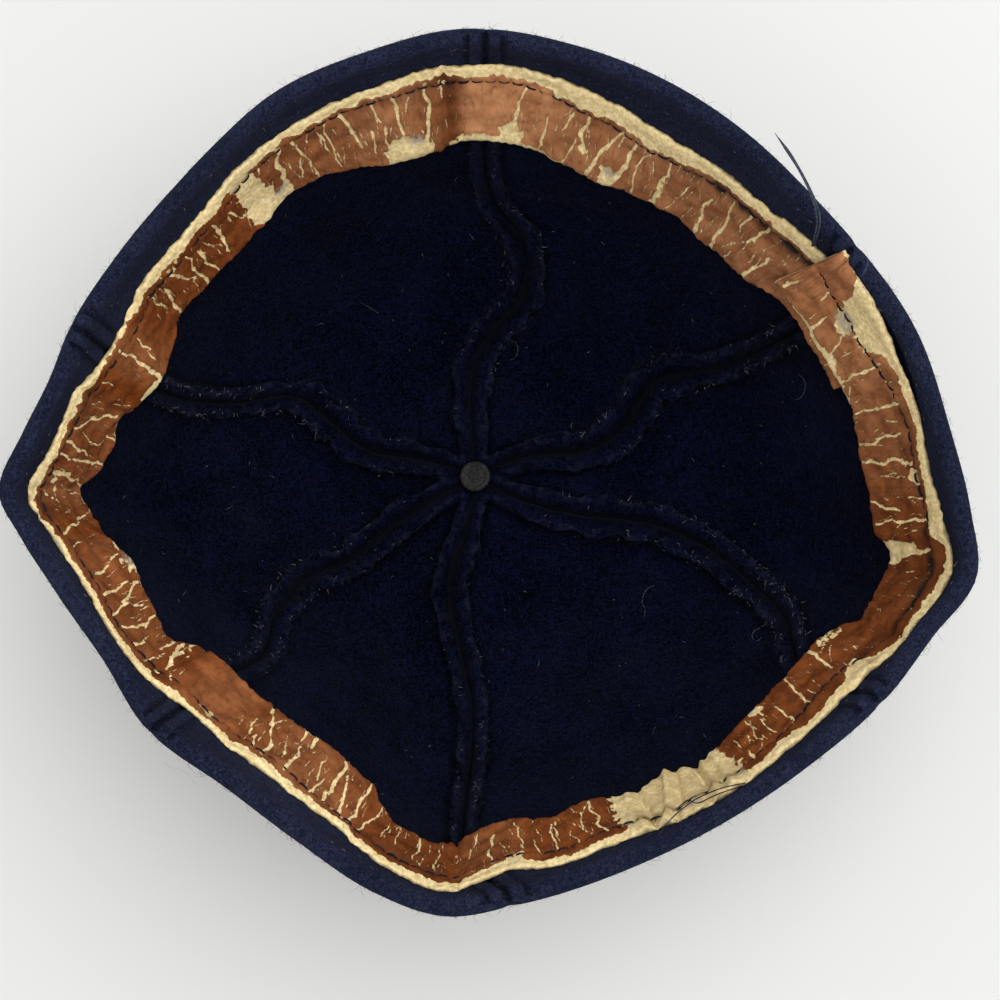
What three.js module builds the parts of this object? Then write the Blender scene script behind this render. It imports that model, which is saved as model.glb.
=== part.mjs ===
// A six-panel felt beanie, lying on its crown with the opening up, as it is when it is put down empty.
// Millimetres and degrees, +Z up. The origin is the middle of the crown button's flat face.
// Every piece of cloth or leather follows one surface, the outside of the cap: a place on it is an azimuth
// about the button and a distance down from the rim, and a depth goes from it into the hollow.
import * as THREE from 'three';

// Cloth and leather
const FELT = 2;                // one layer of melton felt
const FELT_GAP = 0.2;          // air between the two layers of the hem
const PIECE_GAP = 0.3;         // between neighbouring pieces
const SEAM_GAP = 0.36;         // between two panels, along the rim's curve
const BAND_GAP = 0.9;          // between the hem and the sweatband, also where the rim's creases bend them
const ALLOWANCE = 4.5;         // seam allowance, pressed open on both sides of a seam
const RAW_EDGE = 0.5;          // run of the slope at an allowance's raw edge
const GROOVE = 0.9;            // from the seam to the crest of an allowance
const GROOVE_DEPTH = 1.4;      // the valley between two pressed allowances
const LEATHER = 1.2;           // thickness of the sweatband
const BAND_WIDTH = 25;
const BAND_TOP = 12;           // the sweatband's sewn edge, measured down from the rim
const BAND_START = 12;         // azimuth of the end that lies below
const BAND_SWEEP = 381;        // once round, and the overlap at the back seam
const BAND_CLIMB = 10;         // azimuth over which the upper end climbs onto the lower one
const BAND_FLAT = 0.15;        // share of the sweatband's width that lies on the hem

// Crown button and its rivet
const BUTTON_RADIUS = 7.5;
const BUTTON_FACE = 5.5;       // radius of the flat face
const BUTTON_HEIGHT = 3.6;
const BUTTON_BEVEL = 1;
const SHANK_RADIUS = 1.5;
const SHANK_BOTTOM = 2;
const RIVET_RADIUS = 3.8;
const RIVET_HEIGHT = 1.3;
const RIVET_BEVEL = 0.5;
const RIVET_BOTTOM = 7.2;
const PANEL_TIP = 137.7;       // where the panels end round the shank, down from the rim
const TIP_TRIM = 10;           // length over which the allowances are trimmed away towards the tip
const TRIMMED = 0.2;           // share of their height that is left there

// Steps of the meshes
const PANEL_STEPS = 10;        // columns between a panel's two seam allowances
const ROLL_ROWS = [0.15, 0.6, 1.3, 2.1];  // round the rim's fold, down from the rim
const HEM_ROWS = [6.8, 15];    // down the hem to its raw edge
const WALL_STEP = 7.6;         // between the rows below the hem
const BAND_STEPS = 96;
const BAND_ROWS = 3;
const ROUND_SIDES = 32;

const FINISHES = {
  felt: { color: 0x0e1220, roughness: 0.95, metalness: 0 },
  leather: { color: 0x8a5230, roughness: 0.5, metalness: 0 },
  button: { color: 0x0c0f1c, roughness: 0.9, metalness: 0 },
  rivet: { color: 0x5c5a5c, roughness: 0.5, metalness: 0.8 },
};

// A short table whose columns have names
function table(columns, rows) {
  return rows.map((row) => Object.fromEntries(columns.map((column, i) => [column, row[i]])));
}

// The cap from above: radius of the outside at the rim and behind the sweatband's two edges.
// The four peaks, at 91, 186, 267 and 345 degrees, are old storage creases.
const OUTLINE = table(['azimuth', 'rim', 'bandTop', 'bandFoot'], [
  [2, 103.4, 102.8, 95.5],
  [14, 99.4, 99.0, 90.8],
  [26, 94.3, 94.0, 86.7],
  [36, 91.4, 89.6, 83.2],
  [47, 90.2, 87.3, 80.4],
  [60, 89.6, 86.6, 78.5],
  [75, 89.6, 88.0, 78.8],
  [91, 90.6, 88.6, 80.0],
  [105, 88.3, 86.9, 79.1],
  [119, 87.7, 85.5, 80.6],
  [131, 85.5, 83.9, 80.8],
  [141, 85.0, 82.7, 80.4],
  [153, 86.7, 84.2, 80.9],
  [164, 90.0, 86.4, 82.6],
  [172, 92.0, 90.6, 86.0],
  [179, 96.8, 95.0, 90.5],
  [186, 102.5, 100.2, 94.5],
  [192, 99.0, 97.3, 91.5],
  [200, 94.5, 92.8, 87.6],
  [211, 90.9, 90.3, 83.2],
  [222, 92.2, 88.2, 80.2],
  [235, 90.2, 86.7, 79.2],
  [247, 92.8, 89.4, 83.0],
  [258, 98.0, 95.5, 89.0],
  [267, 101.0, 99.2, 93.0],
  [276, 99.0, 96.0, 89.8],
  [290, 97.0, 94.4, 89.0],
  [303, 97.3, 96.0, 90.6],
  [316, 99.8, 98.6, 92.3],
  [328, 104.5, 102.3, 95.6],
  [337, 107.5, 107.2, 99.8],
  [345, 112.9, 112.0, 104.0],
  [352, 109.0, 108.6, 100.5],
]);
const MEAN = { rim: 94.5, bandTop: 92.8, bandFoot: 86.5 };

// The cap from the side: mean radius and height at each distance down from the rim, the shares of the
// outline's three columns that show there, and how far a stretch that leans out sinks per millimetre
const PROFILE = table(['down', 'radius', 'height', 'rim', 'bandTop', 'bandFoot', 'sink'], [
  [0, MEAN.rim, 76, 1, 0, 0, 0.3],
  [12, MEAN.bandTop, 64.2, 0, 1, 0, 0.3],
  [37, MEAN.bandFoot, 40.6, 0, 0, 1, 0.2],
  [60, 74, 21, 0, 0, 0.8, 0.1],
  [81, 57.5, 8.5, 0, 0, 0.5, 0.03],
  [100, 40, 1, 0, 0, 0.28, 0],
  [110, 30, 0, 0, 0, 0.18, 0],
  [122, 18, 1.6, 0, 0, 0.08, 0],
  [131, 9, 3.2, 0, 0, 0, 0],
  [140, 0, 4, 0, 0, 0, 0],
]);

// The six seams: their azimuth at some distances down from the rim. They wander as the crumpled felt does.
const STATIONS = [0, 40, 58, 72, 87, 100, 115, 130, 140];
const STATION_NAMES = ['rim', 'band', 'wall', 'turn', 'edge', 'crown', 'inner', 'tip', 'centre'];
const SEAMS = table(['name', ...STATION_NAMES], [
  ['back', 27, 23, 23, 24, 27, 18, 14, 24, 28],
  ['far', 88, 88, 86, 77, 75, 84, 92, 94, 92],
  ['far_left', 164, 166, 166, 163, 156, 160, 166, 160, 156],
  ['near_left', 223, 222, 222, 216, 212, 214, 211, 208, 210],
  ['near', 275, 269, 269, 270, 269, 264, 257, 262, 268],
  ['near_right', 327, 327, 334, 338, 343, 345, 340, 333, 330],
]);

// How far each seam stands up into the hollow as a soft rib, at the same distances
const RIBS = table(['name', ...STATION_NAMES], [
  ['back', 0, 0, 0.5, 2, 5, 5, 3, 0.6, 0],
  ['far', 0, 0.5, 1.5, 3, 3, 3.5, 3, 0.6, 0],
  ['far_left', 0, 0, 0.5, 1, 2.5, 4, 3, 0.6, 0],
  ['near_left', 0, 0.5, 1.5, 2.5, 3, 2.5, 2.5, 0.6, 0],
  ['near', 0, 0, 0.5, 1, 1.5, 2, 2, 0.6, 0],
  ['near_right', 0, 1, 1.5, 2, 3, 3.5, 3, 0.6, 0],
]);
const RIB_WIDTH = 6;

// Soft dents and bulges of the panels: middle, half sizes across and along, and depth into the hollow
const DENTS = table(['azimuth', 'down', 'across', 'along', 'depth'], [
  [58, 72, 16, 14, 2.5],
  [125, 62, 18, 16, 2],
  [190, 74, 16, 14, 2],
  [243, 66, 18, 15, 2.5],
  [300, 70, 20, 16, 2],
  [5, 66, 16, 14, -1.5],
]);

// How far the sweatband's free edge stands off the felt, apart from the gap between the pieces
const BAND_WAVES = table(['azimuth', 'off'], [
  [0, 2.3], [12, 2.6], [24, 2.3], [30, 2.2], [36, 3.6], [48, 2], [60, 3], [72, 2.8], [88, 2.2],
  [102, 3.3], [115, 1.2], [132, 2.3], [144, 2.6], [150, 1.6], [157, 2.4], [165, 4.8], [173, 1.4],
  [180, 1.6], [186, 1], [191, 1.7], [196, 4.2], [203, 2.6], [210, 0.8], [220, 3.8], [228, 2.4],
  [240, 3.2], [251, 5.2], [258, 1.6], [265, 2.1], [271, 2.3], [277, 3.5], [294, 2.7], [306, 1],
  [318, 2.8], [329, 4.4], [336, 2.6], [345, 1.3], [353, 2.4],
]);

const TURN = 360;
const DEGREE = Math.PI / 180;

// A smooth curve through points that rise in x. With a period, they go round in a circle.
function smoothCurve(points, period = 0) {
  const before = points.slice(-2).map(([x, y]) => [x - period, y]);
  const after = points.slice(0, 2).map(([x, y]) => [x + period, y]);
  const knots = period ? [...before, ...points, ...after] : points;
  const slopes = knots.map((_, i) => {
    const [x0, y0] = knots[Math.max(i - 1, 0)];
    const [x1, y1] = knots[Math.min(i + 1, knots.length - 1)];
    return (y1 - y0) / (x1 - x0);
  });
  const start = points[0][0];
  return (place) => {
    const x = period ? start + ((((place - start) % period) + period) % period) : place;
    let i = 0;
    while (i < knots.length - 2 && knots[i + 1][0] <= x) i += 1;
    const [x0, y0] = knots[i];
    const [x1, y1] = knots[i + 1];
    const run = x1 - x0;
    const t = (x - x0) / run;
    const bend = slopes[i] * t * (1 - t) * (1 - t) - slopes[i + 1] * t * t * (1 - t);
    return y0 + (y1 - y0) * ease(t) + run * bend;
  };
}

// One smooth curve for each column of a table
function curvesOf(rows, place, columns, period = 0) {
  const curve = (column) => smoothCurve(rows.map((row) => [row[place], row[column]]), period);
  return Object.fromEntries(columns.map((column) => [column, curve(column)]));
}

function alongStations(row) {
  return smoothCurve(STATIONS.map((down, i) => [down, row[STATION_NAMES[i]]]));
}

const EDGES = Object.keys(MEAN);
const outline = curvesOf(OUTLINE, 'azimuth', EDGES, TURN);
const profile = curvesOf(PROFILE, 'down', ['radius', 'height', 'sink', ...EDGES]);
const seams = SEAMS.map(alongStations);
const ribs = RIBS.map(alongStations);
const bandOff = curvesOf(BAND_WAVES, 'azimuth', ['off'], TURN).off;

// Difference of two azimuths, from -180 to 180
function turnBetween(from, to) {
  return ((((to - from + TURN / 2) % TURN) + TURN) % TURN) - TURN / 2;
}

function ease(share) {
  const t = Math.min(Math.max(share, 0), 1);
  return t * t * (3 - 2 * t);
}

function bell(...distances) {
  return Math.exp(-distances.reduce((sum, distance) => sum + distance * distance, 0));
}

// How far the felt is raised into the hollow by the ribs and dents
function relief(azimuth, down, radius) {
  const across = (place) => turnBetween(place, azimuth) * DEGREE * radius;
  const ribRise = seams.reduce((sum, seam, i) => {
    const share = bell(across(seam(down)) / RIB_WIDTH);
    return sum + ribs[i](down) * share;
  }, 0);
  const dentRise = DENTS.reduce((sum, dent) => {
    const share = bell(across(dent.azimuth) / dent.across, (down - dent.down) / dent.along);
    return sum + dent.depth * share;
  }, 0);
  return ribRise + dentRise;
}

// A point of the outside
function outside(azimuth, down) {
  const uneven = (edge) => profile[edge](down) * (outline[edge](azimuth) - MEAN[edge]);
  const radius = profile.radius(down) + EDGES.reduce((sum, edge) => sum + uneven(edge), 0);
  const lean = outline.bandFoot(azimuth) - MEAN.bandFoot;
  const height = profile.height(down) - profile.sink(down) * lean;
  const step = 0.5;
  const run = profile.radius(down + step) - profile.radius(down - step);
  const fall = profile.height(down + step) - profile.height(down - step);
  const rise = relief(azimuth, down, radius) / Math.hypot(run, fall);
  const reach = radius + rise * fall;
  const x = reach * Math.cos(azimuth * DEGREE);
  const y = reach * Math.sin(azimuth * DEGREE);
  return new THREE.Vector3(x, y, Math.max(height - rise * run, 0));
}

// A point at a depth below the outside, measured square to it into the hollow
function inside(azimuth, down, depth) {
  const turn = 0.3;
  const step = 0.3;
  const round = outside(azimuth + turn, down).sub(outside(azimuth - turn, down));
  const descent = outside(azimuth, down + step).sub(outside(azimuth, down - step));
  return outside(azimuth, down).addScaledVector(round.cross(descent).normalize(), depth);
}

// A closed solid between two grids of points. Rows go down from the rim, columns go round with the azimuth.
function solidBetween(outer, inner) {
  const rows = outer.length;
  const columns = outer[0].length;
  const points = [...outer.flat(), ...inner.flat()];
  const out = (i, j) => i * columns + j;
  const inn = (i, j) => (rows + i) * columns + j;
  const faces = [];
  const quad = (a, b, c, d) => faces.push(a, b, c, a, c, d);
  for (let i = 0; i < rows - 1; i += 1) {
    for (let j = 0; j < columns - 1; j += 1) {
      quad(out(i, j), out(i + 1, j), out(i + 1, j + 1), out(i, j + 1));
      quad(inn(i, j), inn(i, j + 1), inn(i + 1, j + 1), inn(i + 1, j));
    }
    const last = columns - 1;
    quad(out(i, 0), inn(i, 0), inn(i + 1, 0), out(i + 1, 0));
    quad(out(i, last), out(i + 1, last), inn(i + 1, last), inn(i, last));
  }
  for (let j = 0; j < columns - 1; j += 1) {
    const last = rows - 1;
    quad(out(0, j), out(0, j + 1), inn(0, j + 1), inn(0, j));
    quad(out(last, j), inn(last, j), inn(last, j + 1), out(last, j + 1));
  }
  const geometry = new THREE.BufferGeometry().setFromPoints(points);
  geometry.setIndex(faces);
  geometry.computeVertexNormals();
  return geometry;
}

function piece(name, geometry, finish) {
  const mesh = new THREE.Mesh(geometry, new THREE.MeshStandardMaterial(finish));
  mesh.name = name;
  return mesh;
}

// Rows of a panel: round the rim's fold, down the hem, over its raw edge and on to the tip
function panelRows() {
  const fold = FELT + FELT_GAP / 2;
  const rows = ROLL_ROWS.map((down) => {
    const cut = fold - Math.sqrt(fold * fold - (fold - down) * (fold - down));
    return { down, outer: cut, hem: 2 * fold - cut };
  });
  for (const down of HEM_ROWS) rows.push({ down, outer: 0, hem: 2 * fold });
  const start = HEM_ROWS[HEM_ROWS.length - 1] + RAW_EDGE;
  const steps = Math.round((PANEL_TIP - start) / WALL_STEP);
  for (let i = 0; i <= steps; i += 1) {
    rows.push({ down: start + ((PANEL_TIP - start) * i) / steps, outer: 0, hem: 0 });
  }
  return rows;
}

// Columns at one side of a panel: distance from the seam, the most that it may be as a share of the
// panel's width, and the depth of the inside there
const SIDE_COLUMNS = table(['off', 'most', 'depth'], [
  [0, 0, 2 * FELT - GROOVE_DEPTH],
  [GROOVE, 0.1, 2 * FELT],
  [ALLOWANCE, 0.36, 2 * FELT],
  [ALLOWANCE + RAW_EDGE, 0.42, FELT],
]);

// One column's share of the panel's width and its depth, for a width in millimetres
function panelColumns(width) {
  const side = SIDE_COLUMNS.map(({ off, most, depth }) => ({ share: Math.min(off / width, most), depth }));
  const { share: start } = side[side.length - 1];
  const middle = [];
  for (let i = 1; i < PANEL_STEPS; i += 1) {
    middle.push({ share: start + ((1 - 2 * start) * i) / PANEL_STEPS, depth: FELT });
  }
  const mirrored = side.map(({ share, depth }) => ({ share: 1 - share, depth })).reverse();
  return [...side, ...middle, ...mirrored];
}

// Depth of the inside below the hem, where an allowance adds to the felt
function feltDepth(down, depth) {
  const trim = TRIMMED + (1 - TRIMMED) * ease((PANEL_TIP - down) / TIP_TRIM);
  return FELT + (depth - FELT) * trim;
}

// A gore between two seams, with its hem and its two pressed allowances
function panel(index) {
  const first = seams[index];
  const second = seams[(index + 1) % seams.length];
  const outer = [];
  const inner = [];
  for (const row of panelRows()) {
    const start = first(row.down);
    const sweep = (turnBetween(start, second(row.down)) + TURN) % TURN;
    const middle = outside(start + sweep / 2, row.down);
    const radius = Math.hypot(middle.x, middle.y);
    const gap = SEAM_GAP / 2 / (radius * DEGREE);
    const columns = panelColumns((sweep - 2 * gap) * DEGREE * radius);
    const azimuth = ({ share }) => start + gap + (sweep - 2 * gap) * share;
    outer.push(columns.map((column) => inside(azimuth(column), row.down, row.outer)));
    const depth = (column) => row.hem || feltDepth(row.down, column.depth);
    inner.push(columns.map((column) => inside(azimuth(column), row.down, depth(column))));
  }
  return piece(`panel_${index + 1}`, solidBetween(outer, inner), FINISHES.felt);
}

// Depth of the sweatband's back, at a share of its width from the sewn edge
function bandDepth(azimuth, share) {
  const sewn = 2 * FELT + FELT_GAP + BAND_GAP;
  const free = FELT + PIECE_GAP + bandOff(azimuth);
  const climb = (azimuth - TURN - BAND_START + BAND_CLIMB) / BAND_CLIMB;
  const lift = (LEATHER + PIECE_GAP) * ease(climb);
  return sewn + (free - sewn) * ease((share - BAND_FLAT) / (1 - BAND_FLAT)) + lift;
}

// The strip of leather inside the rim. Its upper end lies on the lower one at the back seam.
function sweatband() {
  const stations = Array.from({ length: BAND_STEPS + 1 }, (_, j) => j / BAND_STEPS);
  const places = stations.map((share) => BAND_START + BAND_SWEEP * share);
  const outer = [];
  const inner = [];
  for (let i = 0; i <= BAND_ROWS; i += 1) {
    const share = i / BAND_ROWS;
    const down = BAND_TOP + BAND_WIDTH * share;
    outer.push(places.map((azimuth) => inside(azimuth, down, bandDepth(azimuth, share))));
    inner.push(places.map((azimuth) => inside(azimuth, down, bandDepth(azimuth, share) + LEATHER)));
  }
  return piece('sweatband', solidBetween(outer, inner), FINISHES.leather);
}

// A round piece turned about the vertical axis
function turned(name, profilePoints, finish) {
  const points = profilePoints.map(([radius, height]) => new THREE.Vector2(radius, height));
  const geometry = new THREE.LatheGeometry(points, ROUND_SIDES);
  geometry.rotateX(Math.PI / 2);
  return piece(name, geometry, finish);
}

// The felt covered button on the outside of the crown, with a blind hole for the shank
function crownButton() {
  const hole = SHANK_RADIUS + PIECE_GAP;
  const bottom = SHANK_BOTTOM - PIECE_GAP;
  return turned('crown_button', [
    [0, 0],
    [BUTTON_FACE, 0],
    [BUTTON_RADIUS, BUTTON_BEVEL],
    [BUTTON_RADIUS, BUTTON_HEIGHT - BUTTON_BEVEL],
    [BUTTON_FACE, BUTTON_HEIGHT],
    [hole, BUTTON_HEIGHT],
    [hole, bottom],
    [0, bottom],
  ], FINISHES.button);
}

// The rivet that shows inside the crown, and its shank down to the button
function buttonRivet() {
  const top = RIVET_BOTTOM + RIVET_HEIGHT;
  return turned('button_rivet', [
    [0, SHANK_BOTTOM],
    [SHANK_RADIUS, SHANK_BOTTOM],
    [SHANK_RADIUS, RIVET_BOTTOM],
    [RIVET_RADIUS, RIVET_BOTTOM],
    [RIVET_RADIUS, top - RIVET_BEVEL],
    [RIVET_RADIUS - RIVET_BEVEL, top],
    [0, top],
  ], FINISHES.rivet);
}

const cap = new THREE.Group();
SEAMS.forEach((_, index) => cap.add(panel(index)));
cap.add(sweatband(), crownButton(), buttonRivet());

export default cap;
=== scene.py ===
# A six-panel felt beanie with a cracked leather sweatband, lying on its crown with the opening up.
# Tables and working values are in millimetres and degrees, in the frame's axes, and meshes are in metres.
# Every piece of cloth or leather follows one surface, the outside of the cap: a place on it is an azimuth
# about the crown button and a distance down from the rim, and a depth goes from it into the hollow.
import math

import bpy
import numpy as np
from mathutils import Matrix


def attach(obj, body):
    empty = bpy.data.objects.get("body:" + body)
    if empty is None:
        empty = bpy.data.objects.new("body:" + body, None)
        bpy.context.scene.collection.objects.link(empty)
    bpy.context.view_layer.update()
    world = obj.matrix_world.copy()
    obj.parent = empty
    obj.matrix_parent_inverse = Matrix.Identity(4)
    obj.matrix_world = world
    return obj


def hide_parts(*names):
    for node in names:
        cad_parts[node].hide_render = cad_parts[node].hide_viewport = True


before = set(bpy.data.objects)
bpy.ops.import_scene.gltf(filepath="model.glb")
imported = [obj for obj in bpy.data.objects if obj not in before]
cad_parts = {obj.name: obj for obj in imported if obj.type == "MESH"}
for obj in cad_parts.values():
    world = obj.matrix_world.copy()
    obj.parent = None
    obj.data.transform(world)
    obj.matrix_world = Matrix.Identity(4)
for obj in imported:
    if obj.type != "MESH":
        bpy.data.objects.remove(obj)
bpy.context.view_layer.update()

MM = 0.001
TURN = 360
DEGREE = math.pi / 180

# Camera: straight down into the cap, tipped a little, as it lies in the photograph
CAMERA_TARGET = np.array([6.2, -13.1, 76])
CAMERA_DISTANCE = 400
CAMERA_TILT = 6
CAMERA_LENS = 67.68
SENSOR = 36
PHOTO_WIDTH = 1000

# Cloth and leather
FELT = 2
FELT_GAP = 0.2
PIECE_GAP = 0.3
SEAM_OVERLAP = 0.1
HEM_PRESSED = 0.8
HEM_END = 15
PANEL_TIP = 137.7
TIP_TRIM = 10
TRIMMED = 0.2
LEATHER = 1.2
BAND_WIDTH = 25
BAND_TOP = 12
BAND_START = 12
BAND_SWEEP = 381
BAND_CLIMB = 10
BAND_FLAT = 0.15
BAND_SEAT = 0.15

# The cap from above: radius of the outside at the rim and behind the sweatband's two edges
OUTLINE_COLUMNS = ("azimuth", "rim", "band_top", "band_foot")
OUTLINE = (
    (2, 103.4, 102.8, 95.5),
    (14, 99.4, 99.0, 90.8),
    (26, 94.3, 94.0, 86.7),
    (36, 91.4, 89.6, 83.2),
    (47, 90.2, 87.3, 80.4),
    (60, 89.6, 86.6, 78.5),
    (75, 89.6, 88.0, 78.8),
    (91, 90.6, 88.6, 80.0),
    (105, 88.3, 86.9, 79.1),
    (119, 87.7, 85.5, 80.6),
    (131, 85.5, 83.9, 80.8),
    (141, 85.0, 82.7, 80.4),
    (153, 86.7, 84.2, 80.9),
    (164, 90.0, 86.4, 82.6),
    (172, 92.0, 90.6, 86.0),
    (179, 96.8, 95.0, 90.5),
    (186, 102.5, 100.2, 94.5),
    (192, 99.0, 97.3, 91.5),
    (200, 94.5, 92.8, 87.6),
    (211, 90.9, 90.3, 83.2),
    (222, 92.2, 88.2, 80.2),
    (235, 90.2, 86.7, 79.2),
    (247, 92.8, 89.4, 83.0),
    (258, 98.0, 95.5, 89.0),
    (267, 101.0, 99.2, 93.0),
    (276, 99.0, 96.0, 89.8),
    (290, 97.0, 94.4, 89.0),
    (303, 97.3, 96.0, 90.6),
    (316, 99.8, 98.6, 92.3),
    (328, 104.5, 102.3, 95.6),
    (337, 107.5, 107.2, 99.8),
    (345, 112.9, 112.0, 104.0),
    (352, 109.0, 108.6, 100.5),
)
MEAN = {"rim": 94.5, "band_top": 92.8, "band_foot": 86.5}

# The cap from the side: mean radius and height at each distance down from the rim, the shares of the
# outline's three columns that show there, and how far a stretch that leans out sinks per millimetre
PROFILE_COLUMNS = ("down", "radius", "height", "rim", "band_top", "band_foot", "sink")
PROFILE = (
    (0, MEAN["rim"], 76, 1, 0, 0, 0.3),
    (12, MEAN["band_top"], 64.2, 0, 1, 0, 0.3),
    (37, MEAN["band_foot"], 40.6, 0, 0, 1, 0.2),
    (60, 74, 21, 0, 0, 0.8, 0.1),
    (81, 57.5, 8.5, 0, 0, 0.5, 0.03),
    (100, 40, 1, 0, 0, 0.28, 0),
    (110, 30, 0, 0, 0, 0.18, 0),
    (122, 18, 1.6, 0, 0, 0.08, 0),
    (131, 9, 3.2, 0, 0, 0, 0),
    (140, 0, 4, 0, 0, 0, 0),
)

# The six seams: azimuth, and height as a soft rib, at some distances down from the rim
STATIONS = (0, 40, 58, 72, 87, 100, 115, 130, 140)
SEAMS = {
    "back": ((27, 23, 23, 24, 27, 18, 14, 24, 28), (0, 0, 0.5, 2, 5, 5, 3, 0.6, 0)),
    "far": ((88, 88, 86, 77, 75, 84, 92, 94, 92), (0, 0.5, 1.5, 3, 3, 3.5, 3, 0.6, 0)),
    "far_left": ((164, 166, 166, 163, 156, 160, 166, 160, 156), (0, 0, 0.5, 1, 2.5, 4, 3, 0.6, 0)),
    "near_left": ((223, 222, 222, 216, 212, 214, 211, 208, 210), (0, 0.5, 1.5, 2.5, 3, 2.5, 2.5, 0.6, 0)),
    "near": ((275, 269, 269, 270, 269, 264, 257, 262, 268), (0, 0, 0.5, 1, 1.5, 2, 2, 0.6, 0)),
    "near_right": ((327, 327, 334, 338, 343, 345, 340, 333, 330), (0, 1, 1.5, 2, 3, 3.5, 3, 0.6, 0)),
}
RIB_WIDTH = 6

# Soft dents and bulges of the panels: azimuth, distance down, half sizes across and along, and depth
DENTS = (
    (58, 72, 16, 14, 2.5),
    (125, 62, 18, 16, 2),
    (190, 74, 16, 14, 2),
    (243, 66, 18, 15, 2.5),
    (300, 70, 20, 16, 2),
    (5, 66, 16, 14, -1.5),
)

# How far the sweatband's free edge stands off the felt: azimuth and distance
BAND_WAVES = (
    (0, 2.3), (12, 2.6), (24, 2.3), (30, 2.2), (36, 3.6), (48, 2), (60, 3), (72, 2.8), (88, 2.2),
    (102, 3.3), (115, 1.2), (132, 2.3), (144, 2.6), (150, 1.6), (157, 2.4), (165, 4.8), (173, 1.4),
    (180, 1.6), (186, 1), (191, 1.7), (196, 4.2), (203, 2.6), (210, 0.8), (220, 3.8), (228, 2.4),
    (240, 3.2), (251, 5.2), (258, 1.6), (265, 2.1), (271, 2.3), (277, 3.5), (294, 2.7), (306, 1),
    (318, 2.8), (329, 4.4), (336, 2.6), (345, 1.3), (353, 2.4),
)


# Curves and noise

WAVES = 28
WAVE_SPREAD = (0.7, 1.6)
WAVE_HEIGHT = 1 / 1.5


def ease(share):
    t = np.clip(share, 0, 1)
    return t * t * (3 - 2 * t)


def smooth_curve(points, period=0):
    """A smooth curve through points that rise in x. With a period, they go round in a circle."""
    x, y = np.array(points, float).T
    start = x[0]
    if period:
        x = np.concatenate([x[-2:] - period, x, x[:2] + period])
        y = np.concatenate([y[-2:], y, y[:2]])
    order = np.arange(len(x))
    before = np.maximum(order - 1, 0)
    after = np.minimum(order + 1, len(x) - 1)
    slopes = (y[after] - y[before]) / (x[after] - x[before])

    def curve(place):
        place = np.asarray(place, float)
        if period:
            place = start + np.mod(place - start, period)
        i = np.clip(np.searchsorted(x, place, side="right") - 1, 0, len(x) - 2)
        run = x[i + 1] - x[i]
        t = (place - x[i]) / run
        bend = slopes[i] * t * (1 - t) ** 2 - slopes[i + 1] * t ** 2 * (1 - t)
        return y[i] + (y[i + 1] - y[i]) * ease(t) + run * bend

    return curve


def column_curves(columns, rows, period=0):
    """One smooth curve for each column of a table but the first, which is the place."""
    return {
        name: smooth_curve([(row[0], row[i]) for row in rows], period)
        for i, name in enumerate(columns) if i
    }


def wave_noise(seed, wavelength, dimensions=3):
    """Smooth noise, about -1 to 1, as a sum of waves with lengths near the one given."""
    rng = np.random.default_rng(seed)
    direction = rng.normal(size=(WAVES, dimensions))
    direction /= np.linalg.norm(direction, axis=1, keepdims=True)
    numbers = direction * 2 * math.pi / (wavelength * rng.uniform(*WAVE_SPREAD, (WAVES, 1)))
    phases = rng.uniform(0, 2 * math.pi, WAVES)

    def noise(places):
        places = np.asarray(places, float)
        if dimensions == 1:
            places = places[..., None]
        total = np.zeros(places.shape[:-1])
        for number, phase in zip(numbers, phases):
            total += np.cos(places @ number + phase)
        return total * math.sqrt(2 / WAVES) * WAVE_HEIGHT

    return noise


def layered_noise(layers, dimensions, seed_from=0):
    """A sum of smooth noises. Each layer has a height, a seed and a wavelength."""
    parts = [
        (height, wave_noise(seed_from + seed, wavelength, dimensions))
        for height, seed, wavelength in layers
    ]

    def noise(places):
        return sum(height * part(places) for height, part in parts)

    return noise


# The cap's surface

OUTLINE_CURVES = column_curves(OUTLINE_COLUMNS, OUTLINE, TURN)
PROFILE_CURVES = column_curves(PROFILE_COLUMNS, PROFILE)
SEAM_CURVES = [smooth_curve(list(zip(STATIONS, places))) for places, _ in SEAMS.values()]
RIB_CURVES = [smooth_curve(list(zip(STATIONS, heights))) for _, heights in SEAMS.values()]
band_off = smooth_curve(BAND_WAVES, TURN)

# Steps over which the surface's slope and the directions square to it are taken
SLOPE_STEP = 0.5
SQUARE_STEP = 0.3


def turn_between(start, end):
    """Difference of two azimuths, from -180 to 180."""
    return np.mod(end - start + TURN / 2, TURN) - TURN / 2


def relief(azimuth, down, radius):
    """How far the felt is raised into the hollow by the ribs and dents."""
    total = np.zeros(np.broadcast(azimuth, down).shape)
    for seam, rib in zip(SEAM_CURVES, RIB_CURVES):
        across = turn_between(seam(down), azimuth) * DEGREE * radius / RIB_WIDTH
        total += rib(down) * np.exp(-across ** 2)
    for middle, row, wide, tall, depth in DENTS:
        across = turn_between(middle, azimuth) * DEGREE * radius / wide
        along = (down - row) / tall
        total += depth * np.exp(-across ** 2 - along ** 2)
    return total


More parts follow.
